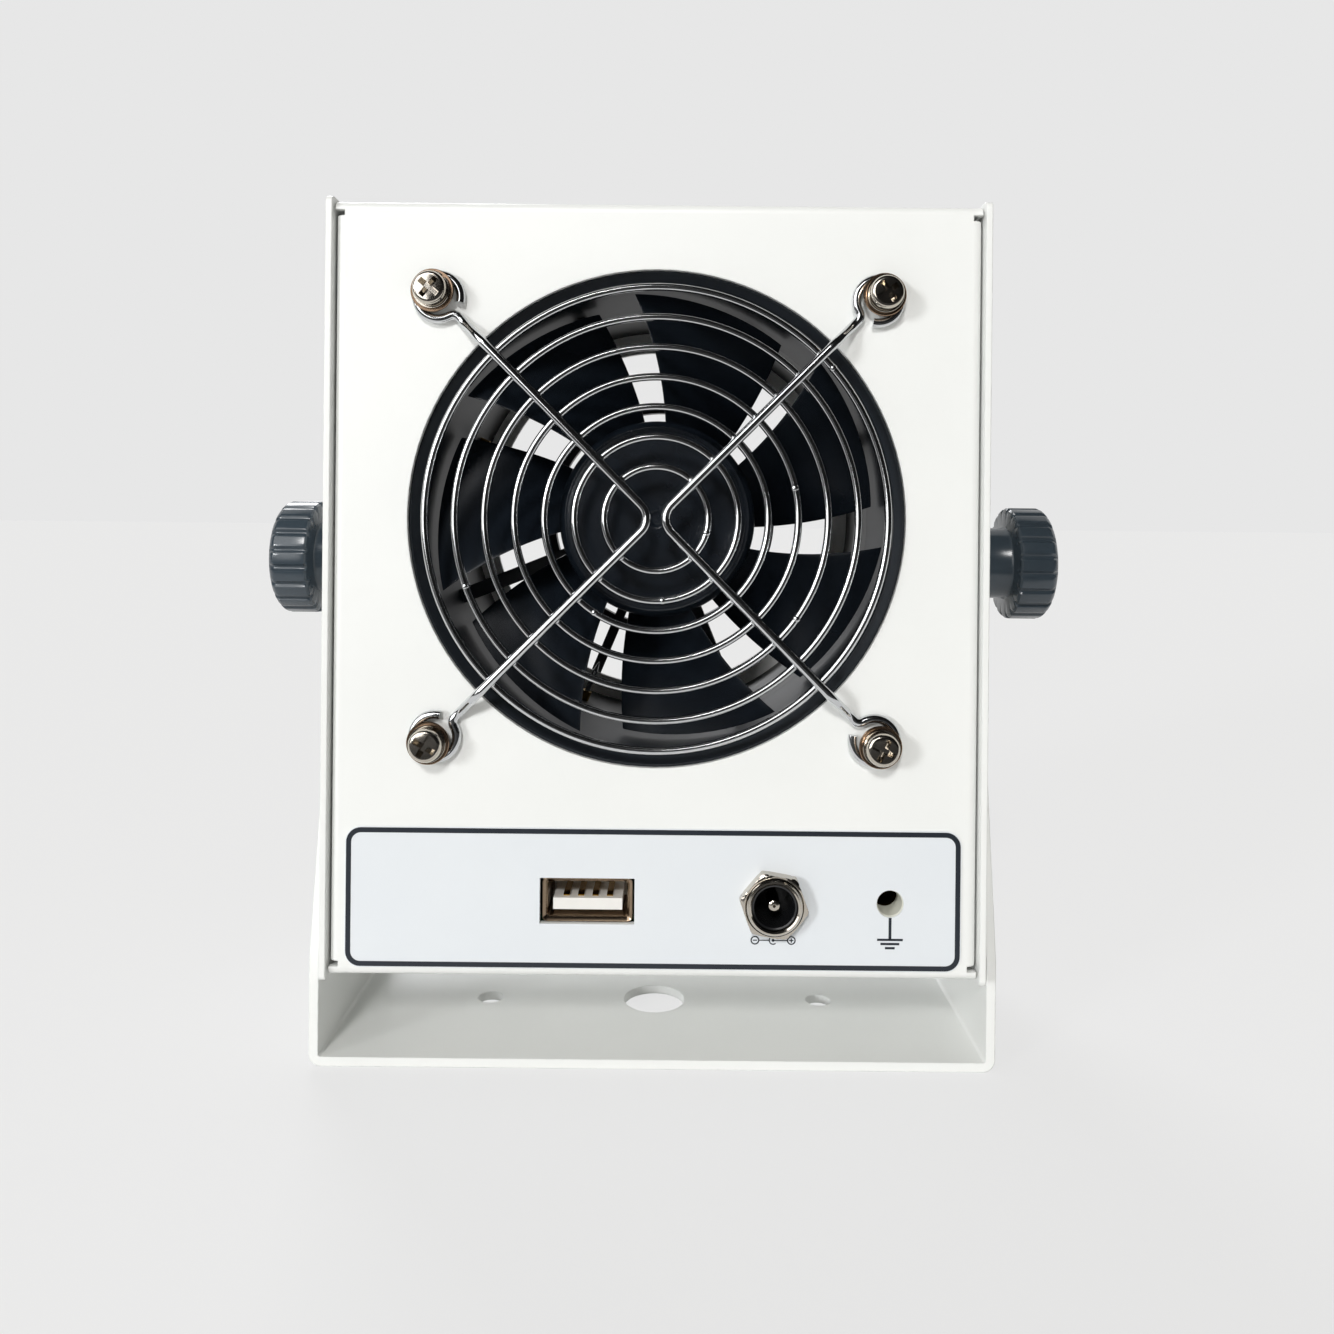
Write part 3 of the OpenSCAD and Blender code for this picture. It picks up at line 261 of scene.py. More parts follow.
def grow(name, tree, sizes, material, place, body, base=None, sharp=40):
    """Runs a geometry tree in millimetres and keeps its result as a plain mesh piece."""
    made = bpy.data.objects.new(name, base or bpy.data.meshes.new(name))
    scene.collection.objects.link(made)
    modifier = made.modifiers.new(tree.name, "NODES")
    modifier.node_group = tree
    values = dict(sizes, Material=material)
    for item in tree.interface.items_tree:
        if item.in_out == "INPUT" and item.name in values:
            modifier[item.identifier] = values[item.name]
    graph = bpy.context.evaluated_depsgraph_get()
    mesh = bpy.data.meshes.new_from_object(made.evaluated_get(graph), depsgraph=graph)
    made.modifiers.clear()
    mesh.transform(place @ Matrix.Scale(0.001, 4))
    mesh.shade_smooth()
    mesh.set_sharp_from_angle(angle=math.radians(sharp))
    made.data = mesh
    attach(made, body)
    return made


# Chrome plated steel wire: mirror bright, with fine drawing waves that break up its reflections.
chrome_wire = finish("chrome plated wire", "#dfe0e1", "#c6c8ca", 3, 0.7, 0.006, Metallic=1.0, Roughness=0.09)

rings_tree, given = new_tree("nest of wire rings", Rings="Int", First_radius="Float", Step="Float",
                             Wire_radius="Float")
points = add(rings_tree, "GeometryNodeMeshLine", {"Count": given["Rings"], "Offset": (0, 0, 0)})
index = add(rings_tree, "GeometryNodeInputIndex")
growth = add(rings_tree, "ShaderNodeMath", {0: index.outputs[0], 1: given["Step"], 2: given["First radius"]},
             operation="MULTIPLY_ADD")
circle = add(rings_tree, "GeometryNodeCurvePrimitiveCircle", {"Resolution": 180, "Radius": 1})
nest = add(rings_tree, "GeometryNodeInstanceOnPoints",
           {"Points": points.outputs[0], "Instance": circle.outputs[0], "Scale": growth.outputs[0]})
loops = add(rings_tree, "GeometryNodeRealizeInstances", {0: nest.outputs[0]})
even = add(rings_tree, "GeometryNodeSetCurveRadius", {"Curve": loops.outputs[0], "Radius": 1})
section = add(rings_tree, "GeometryNodeCurvePrimitiveCircle",
              {"Resolution": 18, "Radius": given["Wire radius"]})
wire = add(rings_tree, "GeometryNodeCurveToMesh",
           {"Curve": even.outputs[0], "Profile Curve": section.outputs[0]})
end_tree(rings_tree, wire.outputs[0], given)

ring_count = 7
ring_wire = 1.2
outer_ring = (fan_high.x - fan_low.x) * 500 - ring_wire / 2
first_ring = 8.2
ring_step = (outer_ring - first_ring) / (ring_count - 1)
rings = grow("guard_wire_rings", rings_tree,
             {"Rings": ring_count, "First radius": first_ring, "Step": ring_step, "Wire radius": ring_wire / 2},
             chrome_wire, rearward(0, (fan_low.y + fan_high.y) / 2, fan_z), "housing")
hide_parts("guard_rings")

spoke_tree, given = new_tree("bent wire", Wire_radius="Float")
bent = add(spoke_tree, "GeometryNodeMeshToCurve", {"Mesh": given["Geometry"]})
section = add(spoke_tree, "GeometryNodeCurvePrimitiveCircle",
              {"Resolution": 18, "Radius": given["Wire radius"]})
wire = add(spoke_tree, "GeometryNodeCurveToMesh",
           {"Curve": bent.outputs[0], "Profile Curve": section.outputs[0], "Fill Caps": True})
end_tree(spoke_tree, wire.outputs[0], given)

spoke_wire = 1.5
screw_pitch = 71.5
hook_radius = 3.5
hook_sweep = 306
neck_radius = 1.2
apex_reach = 4.5
apex_radius = 3.0
apex_sweep = 88
hook_reach = screw_pitch / 2 * math.sqrt(2) - 1.2
ramp_start = outer_ring + ring_wire / 2 + 1.0
ramp_end = hook_reach - hook_radius - neck_radius
panel_height = spoke_wire / 2
ring_height = 2.4 + (ring_wire + spoke_wire) / 2 + 0.02


def bend(centre, radius, start, stop, count):
    """Points along an arc, in degrees."""
    return [Vector((centre[0] + radius * math.cos(math.radians(start + (stop - start) * i / count)),
                    centre[1] + radius * math.sin(math.radians(start + (stop - start) * i / count))))
            for i in range(count + 1)]


def spoke_arm(side):
    """One arm from the apex to the cut end of its hook, which winds clockwise."""
    straight = math.sqrt(hook_radius ** 2 + 2 * hook_radius * neck_radius)
    lean = math.degrees(math.atan2(neck_radius, straight))
    start = hook_reach - ramp_start
    flat = [Vector((start + (straight - start) * i / 24, 0)) for i in range(25)]
    flat += bend((straight, neck_radius), neck_radius, -90, lean - 180, 10)[1:]
    flat += bend((0, 0), hook_radius, lean + 8, lean + 8 + hook_sweep, 60)
    turn = math.radians(side * 45)
    arm = []
    for p in flat:
        along, across = p.x - hook_reach, -p.y
        x = along * math.cos(turn) - across * math.sin(turn)
        y = along * math.sin(turn) + across * math.cos(turn)
        share = min(1, max(0, (math.hypot(x, y) - ramp_start) / (ramp_end - ramp_start)))
        arm.append((x, y, ring_height + (panel_height - ring_height) * share * share * (3 - 2 * share)))
    return arm


apex = [(p.x, p.y, ring_height)
        for p in bend((-apex_reach, 0), apex_radius, apex_sweep / 2, -apex_sweep / 2, 16)]
half = spoke_arm(-1)[::-1] + apex + spoke_arm(1)
path = bpy.data.meshes.new("spoke path")
count = len(half)
path.from_pydata([*half, *((-x, -y, z) for x, y, z in half)],
                 [(i, i + 1) for i in range(2 * count - 1) if i != count - 1], [])
spokes = grow("guard_wire_spokes", spoke_tree, {"Wire radius": spoke_wire / 2}, chrome_wire,
              rearward(0, rear_face, fan_z), "housing", base=path)
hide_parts("guard_spokes")

bead_tree, given = new_tree("beads of weld", Radius="Float", Flatness="Vector")
seat = add(bead_tree, "GeometryNodeMeshToPoints", {"Mesh": given["Geometry"]})
ball = add(bead_tree, "GeometryNodeMeshIcoSphere", {"Radius": given["Radius"], "Subdivisions": 3})
beads = add(bead_tree, "GeometryNodeInstanceOnPoints",
            {"Points": seat.outputs[0], "Instance": ball.outputs[0], "Scale": given["Flatness"]})
end_tree(bead_tree, beads.outputs[0], given)


def welds(name, points, radius, flatness):
    """Small beads where the wire was welded."""
    seats = bpy.data.meshes.new(name)
    seats.from_pydata(points, [], [])
    grow(name, bead_tree, {"Radius": radius, "Flatness": flatness}, chrome_wire,
         rearward(0, rear_face, fan_z), "housing", base=seats)


ring_middle = (rear_face - (fan_low.y + fan_high.y) / 2) * 1000
crossings = []
for number in range(ring_count):
    radius = first_ring + number * ring_step
    for angle in (45, 135, 225, 315):
        lean = math.degrees(0.18 / radius) * (1 if angle in (45, 225) else -1)
        crossings += [(*p, ring_middle + ring_wire / 2) for p in bend((0, 0), radius, angle + lean, 0, 1)[:1]]
welds("guard_spot_welds", crossings, 0.72, (1, 1, 0.5))
joints = [(0, -15), (1, -85), (2, -123), (3, 13), (4, -35), (5, 200), (6, 41)]
welds("guard_ring_joints", [(*p, ring_middle) for number, angle in joints
                            for p in bend((0, 0), first_ring + number * ring_step, angle, 0, 1)[:1]],
      0.7, (1, 1, 1))


# ---- Guard screws and washers ----------------------------------------------
# Nickel plated pan-head screws with a cross recess, a split spring washer and a
# bronze-tinted flat washer hold each hook, the panel and the fan together.


def cross_head(radius, height):
    """A pan head with a tapered cross recess, standing on local Z = 0, as a mesh in millimetres."""
    dome = [(0, 0), (radius - 0.1, 0), (radius, 0.12), (radius, height * 0.5)]
    dome += [(radius - 0.65 * (1 - math.cos(a)), height * (0.5 + 0.44 * math.sin(a)))
             for a in (math.radians(d) for d in (18, 36, 54, 72, 90))]
    head = bpy.data.objects.new("head", bpy.data.meshes.new("head"))
    bm = turned(dome + [(radius * 0.4, height * 0.95), (0, height * 0.955)], 56)
    bm.to_mesh(head.data)
    bm.free()
    scene.collection.objects.link(head)
    cutters = []
    for turn in (0, 90):
        bm = bmesh.new()
        bmesh.ops.create_cube(bm, size=1)
        for v in bm.verts:
            top = v.co.z > 0
            v.co = Vector((v.co.x * radius * (1.45 if top else 0.9), v.co.y * radius * (0.36 if top else 0.26),
                           height * (1.1 if top else 0.1)))
        bmesh.ops.rotate(bm, matrix=Matrix.Rotation(math.radians(turn), 3, "Z"), verts=bm.verts)
        cutter = bpy.data.objects.new("cutter", bpy.data.meshes.new("cutter"))
        bm.to_mesh(cutter.data)
        bm.free()
        scene.collection.objects.link(cutter)
        cutters.append(cutter)
        cut = head.modifiers.new("recess", "BOOLEAN")
        cut.operation = "DIFFERENCE"
        cut.solver = "EXACT"
        cut.object = cutter
    graph = bpy.context.evaluated_depsgraph_get()
    mesh = bpy.data.meshes.new_from_object(head.evaluated_get(graph), depsgraph=graph)
    for extra in [head, *cutters]:
        bpy.data.objects.remove(extra)
    return mesh


def as_mesh(bm):
    """A plain mesh of a shape, to be copied to several places."""
    mesh = bpy.data.meshes.new("copied")
    bm.to_mesh(mesh)
    bm.free()
    return mesh


corner_tree, given = new_tree("one at each corner", Width="Float", Height="Float", Seed="Int")
corners = add(corner_tree, "GeometryNodeMeshGrid", {"Size X": given["Width"], "Size Y": given["Height"],
                                                    "Vertices X": 2, "Vertices Y": 2})
spin = add(corner_tree, "FunctionNodeRandomValue",
           {"Min": (0, 0, 0), "Max": (0, 0, 6.28), "Seed": given["Seed"]}, data_type="FLOAT_VECTOR")
copies = add(corner_tree, "GeometryNodeInstanceOnPoints",
             {"Points": corners.outputs[0], "Instance": given["Geometry"], "Rotation": spin.outputs[0]})
end_tree(corner_tree, copies.outputs[0], given)

# Bronze-tinted nickel: the flat washers' warm edge.
bronze = finish("tinted nickel", "#a98f78", "#8e7763", 1.2, 0.4, 0.004, Metallic=1.0, Roughness=0.22)

spring_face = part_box("guard_spring_washers")[0].y
square = {"Width": screw_pitch, "Height": screw_pitch, "Seed": 4}
flat_washer = turned([(1.65, 0.04), (3.3, 0), (3.4, 0.1), (3.4, 0.4), (3.3, 0.5), (1.65, 0.46)], 56, ring=True)
washers = grow("guard_flat_washers", corner_tree, square, bronze,
               rearward(0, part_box("guard_washers")[1].y, fan_z), "housing",
               as_mesh(flat_washer))
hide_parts("guard_washers")



def loft(outlines):
    """A solid through closed outlines of equal counts, with flat ends."""
    bm = bmesh.new()
    rows = [[bm.verts.new(p) for p in outline] for outline in outlines]
    for low, high in zip(rows, rows[1:]):
        for k in range(len(low)):
            bm.faces.new((low[k - 1], low[k], high[k], high[k - 1]))
    bm.faces.new(rows[0])
    bm.faces.new(rows[-1])
    bmesh.ops.recalc_face_normals(bm, faces=bm.faces)
    return bm


split_section = [(1.65, 0.02), (2.9, 0.02), (2.95, 0.08), (2.95, 0.5), (2.9, 0.55), (1.65, 0.55)]
split_gap = 18
split_lift = 0.12
coil = []
for k in range(41):
    angle = math.radians(split_gap / 2 + (360 - split_gap) * k / 40)
    lift = split_lift * k / 40
    coil.append([(r * math.cos(angle), r * math.sin(angle), z + lift) for r, z in split_section])
springs = grow("guard_split_washers", corner_tree, square, nickel,
               rearward(0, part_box("guard_spring_washers")[1].y, fan_z), "housing",
               as_mesh(loft(coil)))
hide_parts("guard_spring_washers")

heads = grow("guard_screw_heads", corner_tree, square, nickel, rearward(0, spring_face, fan_z), "housing",
             cross_head(2.65, 2.0))
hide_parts("guard_screws")


# ---- Fan frame and motor ----------------------------------------------------
# A moulded square frame with a round duct and four struts that carry the motor:
# bearings, wound stator and its board.

# Glass-filled PBT: black with faint flow and fibre marks, matt on the frame.
frame_plastic = finish("matt black PBT", "#12171d", "#191f26", 9, 0.7, 0.010, edge_mm=0.2,
                       Roughness=0.45, IOR=1.5, Specular_IOR_Level=0.35)
# Motor parts: ground bearing steel, stacked silicon steel sheets, enamelled copper, green laminate.
bearing_steel = finish("ground bearing steel", "#b9bcbf", "#a6a9ac", 2, 0.2, 0.002,
                       Metallic=1.0, Roughness=0.18)
laminations = finish("silicon steel laminations", "#777b80", "#5f6367", 0.5, 0.35, 0.02,
                     Metallic=1.0, Roughness=0.42)
copper = finish("enamelled copper winding", "#b5652f", "#8e4a20", 0.4, 0.3, 0.05,
                Metallic=0.9, Roughness=0.3)
laminate = finish("green circuit laminate", "#25553a", "#1d4830", 3, 0.6, 0.01, Roughness=0.35, IOR=1.5)
ferrite = finish("bonded ferrite", "#4a4c4f", "#3c3e41", 1.5, 0.3, 0.02, Roughness=0.7, IOR=1.6)
dress(frame_plastic, "fan_frame")
dress(bearing_steel, "fan_bearings", "rotor_shaft")
dress(laminations, "fan_stator")
dress(copper, "fan_coils")
dress(laminate, "fan_board")
dress(ferrite, "rotor_magnet")


# ---- Fan rotor --------------------------------------------------------------
# One moulding: a hub cup with a rounded nose and seven cambered blades, pitched
# less towards the tip. It spins with its magnet and shaft.

# The same PBT from a polished mould: darker and smoother than the frame.
fan_plastic = finish("smooth black PBT", "#0e1319", "#151b22", 9, 0.7, 0.008, edge_mm=0.2,
                     Roughness=0.27, IOR=1.5, Specular_IOR_Level=0.35)

low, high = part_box("fan_rotor")
hub_radius = 16.0
root_depth = 0.8
tip_radius = 37.45
hub_face = low.y
hub_length = (high.y - low.y) * 1000
blade_count = 7
blade_start = 1.2
blade_length = hub_length - 1 - blade_start
blade_span = 39
blade_thick = 1.3
sections = 14
cuts = 20

hub_profile = [(0, -0.55), (0.9, -0.5), (1.15, -0.2), (1.5, 0), (11.2, 0.0), (14.15, 0.03), (14.4, -0.14),
               (14.7, -0.16), (14.9, -0.1), (15.35, -0.6), (15.8, -1.3), (16.0, -2.1), (16.0, -hub_length),
               (14.5, -hub_length), (14.5, -2.0), (0, -2.0)]
hub = piece("rotor_hub_cup", turned(hub_profile, 96), rearward(0, hub_face, fan_z), "rotor",
            fan_plastic, sharp=28)
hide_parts("fan_rotor")


def blade_point(i, k, side):
    """A point on a blade: section i from hub to tip, cut k from leading to trailing edge."""
    f = i / sections
    t = 0.5 - 0.5 * math.cos(math.pi * k / cuts)
    radius = hub_radius - root_depth + (tip_radius - hub_radius + root_depth) * f
    span = blade_span + 2 * f
    angle = math.radians(10 * f - 5 + span * (0.5 - t))
    inset = 3 * f
    depth = blade_start + inset + (blade_length - 2 * inset) * (t + 0.1 * math.sin(math.pi * t))
    half = (0.12 + 0.88 * math.sqrt(max(0, math.sin(math.pi * t)))) * blade_thick / 2 * (1 - 0.35 * f)
    return Vector((radius * math.cos(angle), radius * math.sin(angle), -depth - side * half))


blades = bmesh.new()
for number in range(blade_count):
    turn = Matrix.Rotation(math.radians(45 + 360 * (number + 0.5) / blade_count), 3, "Z")
    rows = []
    for i in range(sections + 1):
        front = [blades.verts.new(turn @ blade_point(i, k, -1)) for k in range(cuts + 1)]
        back = [blades.verts.new(turn @ blade_point(i, k, 1)) for k in range(cuts, -1, -1)]
        rows.append(front + back)
    for inner, outer in zip(rows, rows[1:]):
        for k in range(len(inner)):
            blades.faces.new((inner[k - 1], inner[k], outer[k], outer[k - 1]))
    for row in (rows[0], rows[-1]):
        for k in range(cuts):
            blades.faces.new((row[k], row[k + 1], row[-2 - k], row[-1 - k]))
bmesh.ops.remove_doubles(blades, verts=blades.verts, dist=0.001)
bmesh.ops.recalc_face_normals(blades, faces=blades.faces)
piece("rotor_blades", blades, rearward(0, hub_face, fan_z), "rotor", fan_plastic, sharp=55)


# ---- Emitters and outlet grille ---------------------------------------------
# A black duct behind the fan carries brass needle sockets with fine steel
# needles; a moulded grille closes the outlet.

# Brass: warm yellow metal, lightly tarnished. Polished tool steel for the needles.
brass = finish("turned brass", "#c9a558", "#b08d45", 2, 0.3, 0.004, Metallic=1.0, Roughness=0.24)
needle_steel = finish("polished needle steel", "#d3d5d7", "#c2c4c6", 1, 0.2, 0.001,
                      Metallic=1.0, Roughness=0.12)
# Black ABS with a fine spark-eroded texture of about 0.5 mm.
textured_abs = finish("textured black ABS", "#1c1d1f", "#232527", 12, 0.5, 0.02, edge_mm=0.3,
                      Roughness=0.45, IOR=1.54)
dress(textured_abs, "emitter_frame", "outlet_grille")
dress(brass, "needle_sockets")
dress(needle_steel, "emitter_needles")


def frontward(x, y, z):
    """Local Z points out of the front panel, local X to the right seen from the rear, local Y down."""
    return Matrix.Translation((x, y, z)) @ Matrix.Rotation(-math.pi / 2, 4, "X")


grille_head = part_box("grille_screws")[1].y
outlet_heads = grow("grille_screw_heads", corner_tree, square, nickel, frontward(0, grille_head - 0.002, fan_z),
                    "housing", cross_head(2.65, 2.0))
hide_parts("grille_screws")


# ---- Socket label -------------------------------------------------------------
# A pale polyester film with a black printed frame line, the polarity sign under
# the power jack and the earth sign under the ground socket.

# Matt polyester film over the panel: pale, faintly blue, even. Blue-black screen ink.
film = finish("pale polyester film", "#e4e8eb", "#dde2e7", 26, 0.5, 0.002, Roughness=0.34, IOR=1.5)
ink = finish("blue-black screen ink", "#121a24", "#18202b", 4, 0.4, 0.002, Roughness=0.4, IOR=1.5)
dress(film, "port_label")


def ribbon(bm, points, width, closed=False):
    """A printed line of even width along points in local X and Y, in millimetres."""
    line = [Vector(p) for p in points]
    pairs = []
    for i, p in enumerate(line):
        before = line[i - 1] if i or closed else p
        after = line[(i + 1) % len(line)] if i < len(line) - 1 or closed else p
        way = (p - before).normalized() + (after - p).normalized()
        way.normalize()
        first = (p - before) if (p - before).length else (after - p)
        miter = 1 / max(0.5, way.dot(first.normalized()))
        normal = Vector((-way.y, way.x)) * width / 2 * miter
        pairs.append([bm.verts.new((*(p + normal), 0)), bm.verts.new((*(p - normal), 0))])
    loops = list(zip(pairs, pairs[1:] + pairs[:1] if closed else pairs[1:]))
    for a, b in loops:
        bm.faces.new((a[0], a[1], b[1], b[0]))


def printed(name, bm, place, body, material):
    """Ink 0.02 mm thick from flat outlines."""
    bmesh.ops.remove_doubles(bm, verts=bm.verts, dist=0.0005)
    bmesh.ops.recalc_face_normals(bm, faces=bm.faces)
    bmesh.ops.solidify(bm, geom=bm.faces[:], thickness=0.02)
    return piece(name, bm, place, body, material)


def rounded(x0, x1, y0, y1, r, count=10):
    """The outline of a rectangle with round corners."""
    outline = []
    corners = ((x1 - r, y1 - r), (x0 + r, y1 - r), (x0 + r, y0 + r), (x1 - r, y0 + r))
    for k, centre in enumerate(corners):
        outline += bend(centre, r, 90 * k, 90 * k + 90, count)
    return outline


label_low, label_high = (v * 1000 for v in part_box("port_label"))
label_corner = 2.5
line_width = 0.8
edge = 0.15 + line_width / 2
art = bmesh.new()
ribbon(art, rounded(label_low.x + edge, label_high.x - edge, label_low.z + edge, label_high.z - edge,
                    label_corner - edge), line_width, closed=True)
jack_low, jack_high = (v * 1000 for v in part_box("dc_jack_body"))
jack_x = (jack_low.x + jack_high.x) / 2
port_z = (jack_low.z + jack_high.z) / 2
# The polarity sign: a circled minus, the sleeve as an open arc round the pin's dot, a circled plus.
sign_z = port_z - 5.95
pole_x = 2.9
arm = 0.34
for x in (jack_x - pole_x, jack_x + pole_x):
    ribbon(art, bend((x, sign_z), 0.6, 0, 360, 24)[:-1], 0.2, closed=True)
    ribbon(art, [(x - arm, sign_z), (x + arm, sign_z)], 0.18)
ribbon(art, [(jack_x + pole_x, sign_z - arm), (jack_x + pole_x, sign_z + arm)], 0.18)
ribbon(art, [(jack_x - 2.28, sign_z), (jack_x - 0.62, sign_z)], 0.16)
ribbon(art, bend((jack_x, sign_z), 0.62, 50, 310, 20), 0.18)
ribbon(art, [(jack_x + 0.1, sign_z), (jack_x + 2.28, sign_z)], 0.16)
ribbon(art, bend((jack_x, sign_z), 0.12, 0, 360, 12)[:-1], 0.22, closed=True)
# The earth sign: a stem and three shrinking bars.
ground_low, ground_high = (v * 1000 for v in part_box("ground_socket"))
ground_x = (ground_low.x + ground_high.x) / 2
ribbon(art, [(ground_x, port_z - 2.2), (ground_x, port_z - 5.7)], 0.45)
for drop, length in ((5.7, 4.1), (6.36, 3.0), (7.02, 1.55)):
    ribbon(art, [(ground_x - length / 2, port_z - drop), (ground_x + length / 2, port_z - drop)], 0.36)
printed("label_print", art, rearward(0, label_low.y / 1000 - 0.00003, 0), "housing", ink)


# ---- USB socket ---------------------------------------------------------------
# A stamped shell with a flared lip, a white insulator tongue, and four contact
# springs on the tongue's upper face.

# Injection-moulded LCP insulator, off-white. Gold flash over phosphor bronze, its colour darkened as painted
# shade on the springs inside the socket.
lcp = finish("white LCP insulator", "#efeeea", "#e6e4df", 4, 0.5, 0.004, Roughness=0.42, IOR=1.6)
gold = finish("gold flash darkened as painted shade", "#ad8842", "#8f6f32", 1.5, 0.3, 0.003, Metallic=1.0, Roughness=0.22)
# The shell's nickel is a darker, browner copy of the bright nickel above: painted shade on the socket's shell.
shaded_shell_nickel = finish("stamped nickel shell in painted shade", "#a08d78", "#83725f", 2, 0.5, 0.006, Metallic=1.0, Roughness=0.2)
dress(lcp, "usb_tongue")

usb_low, usb_high = (v * 1000 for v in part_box("usb_shell"))
usb_x = (usb_low.x + usb_high.x) / 2
usb_z = (usb_low.z + usb_high.z) / 2
half_w = (usb_high.x - usb_low.x) / 2
half_h = (usb_high.z - usb_low.z) / 2
usb_depth = usb_high.y - usb_low.y
# Height, growth past the shell's outside and corner radius: up the outside, over the lip, down the inside.
shell_steps = [(-usb_depth, 0, 0.5), (-0.9, 0, 0.5), (-0.5, 0.15, 0.6), (-0.15, 0.5, 0.8), (0.0, 0.55, 0.8),
               (0.05, 0.45, 0.7), (-0.12, 0.2, 0.6), (-0.5, -0.2, 0.4), (-0.9, -0.35, 0.3),
               (0.35 - usb_depth, -0.35, 0.3)]
outlines = [[(p.x, p.y, height) for p in rounded(-half_w - more, half_w + more, -half_h - more, half_h + more,
                                                 radius, 5)] for height, more, radius in shell_steps]
usb = piece("usb_stamped_shell", loft(outlines), rearward(usb_x / 1000, usb_low.y / 1000, usb_z / 1000),
            "housing", shaded_shell_nickel)
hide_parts("usb_shell")

contact_low, contact_high = (v * 1000 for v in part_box("usb_contacts"))
contact_length = contact_high.y - contact_low.y
contact_path = [(0, 0.0), (-0.6, 0.18), (-1.6, 0.24), (-3.0, 0.16), (-4.5, 0.06), (-contact_length, 0.02)]
contact_section = [(-0.5, 0), (0.5, 0), (0.5, 0.16), (-0.5, 0.16)]
spring = loft([[(x, y + rise, z) for x, rise in contact_section] for z, y in contact_path])
row_tree, given = new_tree("places along a line", Places="Int", Start="Vector", Step="Vector")
line = add(row_tree, "GeometryNodeMeshLine",
           {"Count": given["Places"], "Start Location": given["Start"], "Offset": given["Step"]})
copies = add(row_tree, "GeometryNodeInstanceOnPoints",
             {"Points": line.outputs[0], "Instance": given["Geometry"]})
end_tree(row_tree, copies.outputs[0], given)
contacts = grow("usb_contact_springs", row_tree, {"Places": 4, "Start": (-3.5, 0, 0), "Step": (7 / 3, 0, 0)},
                gold, rearward(usb_x / 1000, contact_low.y / 1000, contact_low.z / 1000), "housing",
                as_mesh(spring))
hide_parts("usb_contacts")


# ---- Power jack ---------------------------------------------------------------
# A threaded nickel barrel with a chamfered hex nut on the panel, a black liner
# and a split centre pin.

# Black phenolic-like liner of the jack.
liner = finish("black moulded liner", "#101113", "#17181a", 3, 0.4, 0.004, Roughness=0.25, IOR=1.55)
jack_place = rearward(jack_x / 1000, rear_face, port_z / 1000)
mouth = (rear_face * 1000 - jack_low.y)
thread = []
for k in range(5):
    thread += [(4.38, 0.30 + 0.5 * k), (4.12, 0.55 + 0.5 * k)]
barrel_profile = [(3.7, -8), (5.9, -8), (5.9, -1.05), (4.35, -1.05), (4.35, 0.2)] + thread
barrel_profile = [p for p in barrel_profile if p[1] < mouth - 0.3]
barrel_profile += [(4.38, mouth - 0.25), (4.2, mouth - 0.02), (3.95, mouth), (3.72, mouth - 0.2)]
barrel = piece("jack_barrel", turned(barrel_profile, 72, ring=True), jack_place, "housing",
               nickel, sharp=24)
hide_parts("dc_jack_body")

liner_profile = [(3.68, -8), (3.68, mouth - 0.75), (3.5, mouth - 0.6), (3.25, mouth - 0.7), (3.15, mouth - 1.1),
                 (3.15, -7), (1.0, -7), (1.0, -8)]
lining = piece("jack_liner", turned(liner_profile, 64, ring=True), jack_place, "housing",
               liner)
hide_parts("dc_jack_liner")

pin_top = mouth - 1.2
pin_profile = [(0, -7.5), (1, -7.5), (1, pin_top - 0.5), (0.85, pin_top - 0.15), (0.6, pin_top),
               (0.25, pin_top), (0.25, pin_top - 2), (0, pin_top - 2)]
pin = piece("jack_pin", turned(pin_profile, 40), jack_place, "housing", nickel)
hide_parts("dc_jack_pin")

nut_low, nut_high = (v * 1000 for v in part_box("dc_jack_nut"))
nut_thick = nut_high.y - nut_low.y
nut_flats = 9.7
nut_turn = math.radians(20)
sixth = math.pi / 3


def hexagon(angle, radius, height):
    """Holds a turned nut inside its six flats."""
    off = (angle - nut_turn + sixth / 2) % sixth - sixth / 2
    return min(radius, nut_flats / 2 / math.cos(off))


nut_profile = [(4.5, 0), (5.2, 0), (5.62, 0.25), (5.62, nut_thick - 0.5), (5.4, nut_thick - 0.28),
               (5.05, nut_thick - 0.06), (4.9, nut_thick), (4.65, nut_thick), (4.5, nut_thick - 0.2)]
nut_place = rearward(jack_x / 1000, nut_high.y / 1000, port_z / 1000)
nut = piece("jack_nut", turned(nut_profile, 120, hexagon, ring=True), nut_place, "housing",
            nickel, sharp=24)
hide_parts("dc_jack_nut")


# ---- Ground socket ------------------------------------------------------------
# A turned brass sleeve for a 4 mm plug in a white nylon bush. The bush's neck
# fills the hole in the panel, and its flange bears on the panel's inside.

sleeve_depth = ground_high.y - ground_low.y
ground_place = rearward(ground_x / 1000, ground_low.y / 1000, port_z / 1000)
bush_profile = [(2.0, -4.5), (2.6, -4.5), (2.6, -2.0), (5.0, -2.0), (5.0, -1.05), (2.95, -1.05), (2.95, -0.1),
                (2.85, 0), (2.15, 0), (2.0, -0.2)]
piece("ground_bush", turned(bush_profile, 64, ring=True), ground_place, "housing", nylon)
sleeve_profile = [(2.0, -sleeve_depth), (4.0, -sleeve_depth), (4.0, -2.05), (2.65, -2.05), (2.65, -4.55),
                  (2.0, -4.55)]
sleeve = piece("ground_sleeve", turned(sleeve_profile, 64, ring=True), ground_place, "housing",
               brass)
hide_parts("ground_socket")


# ---- Electronics in the foot ----------------------------------------------------
# A control board on spacers and a potted high-voltage module, closed in by the
# housing.

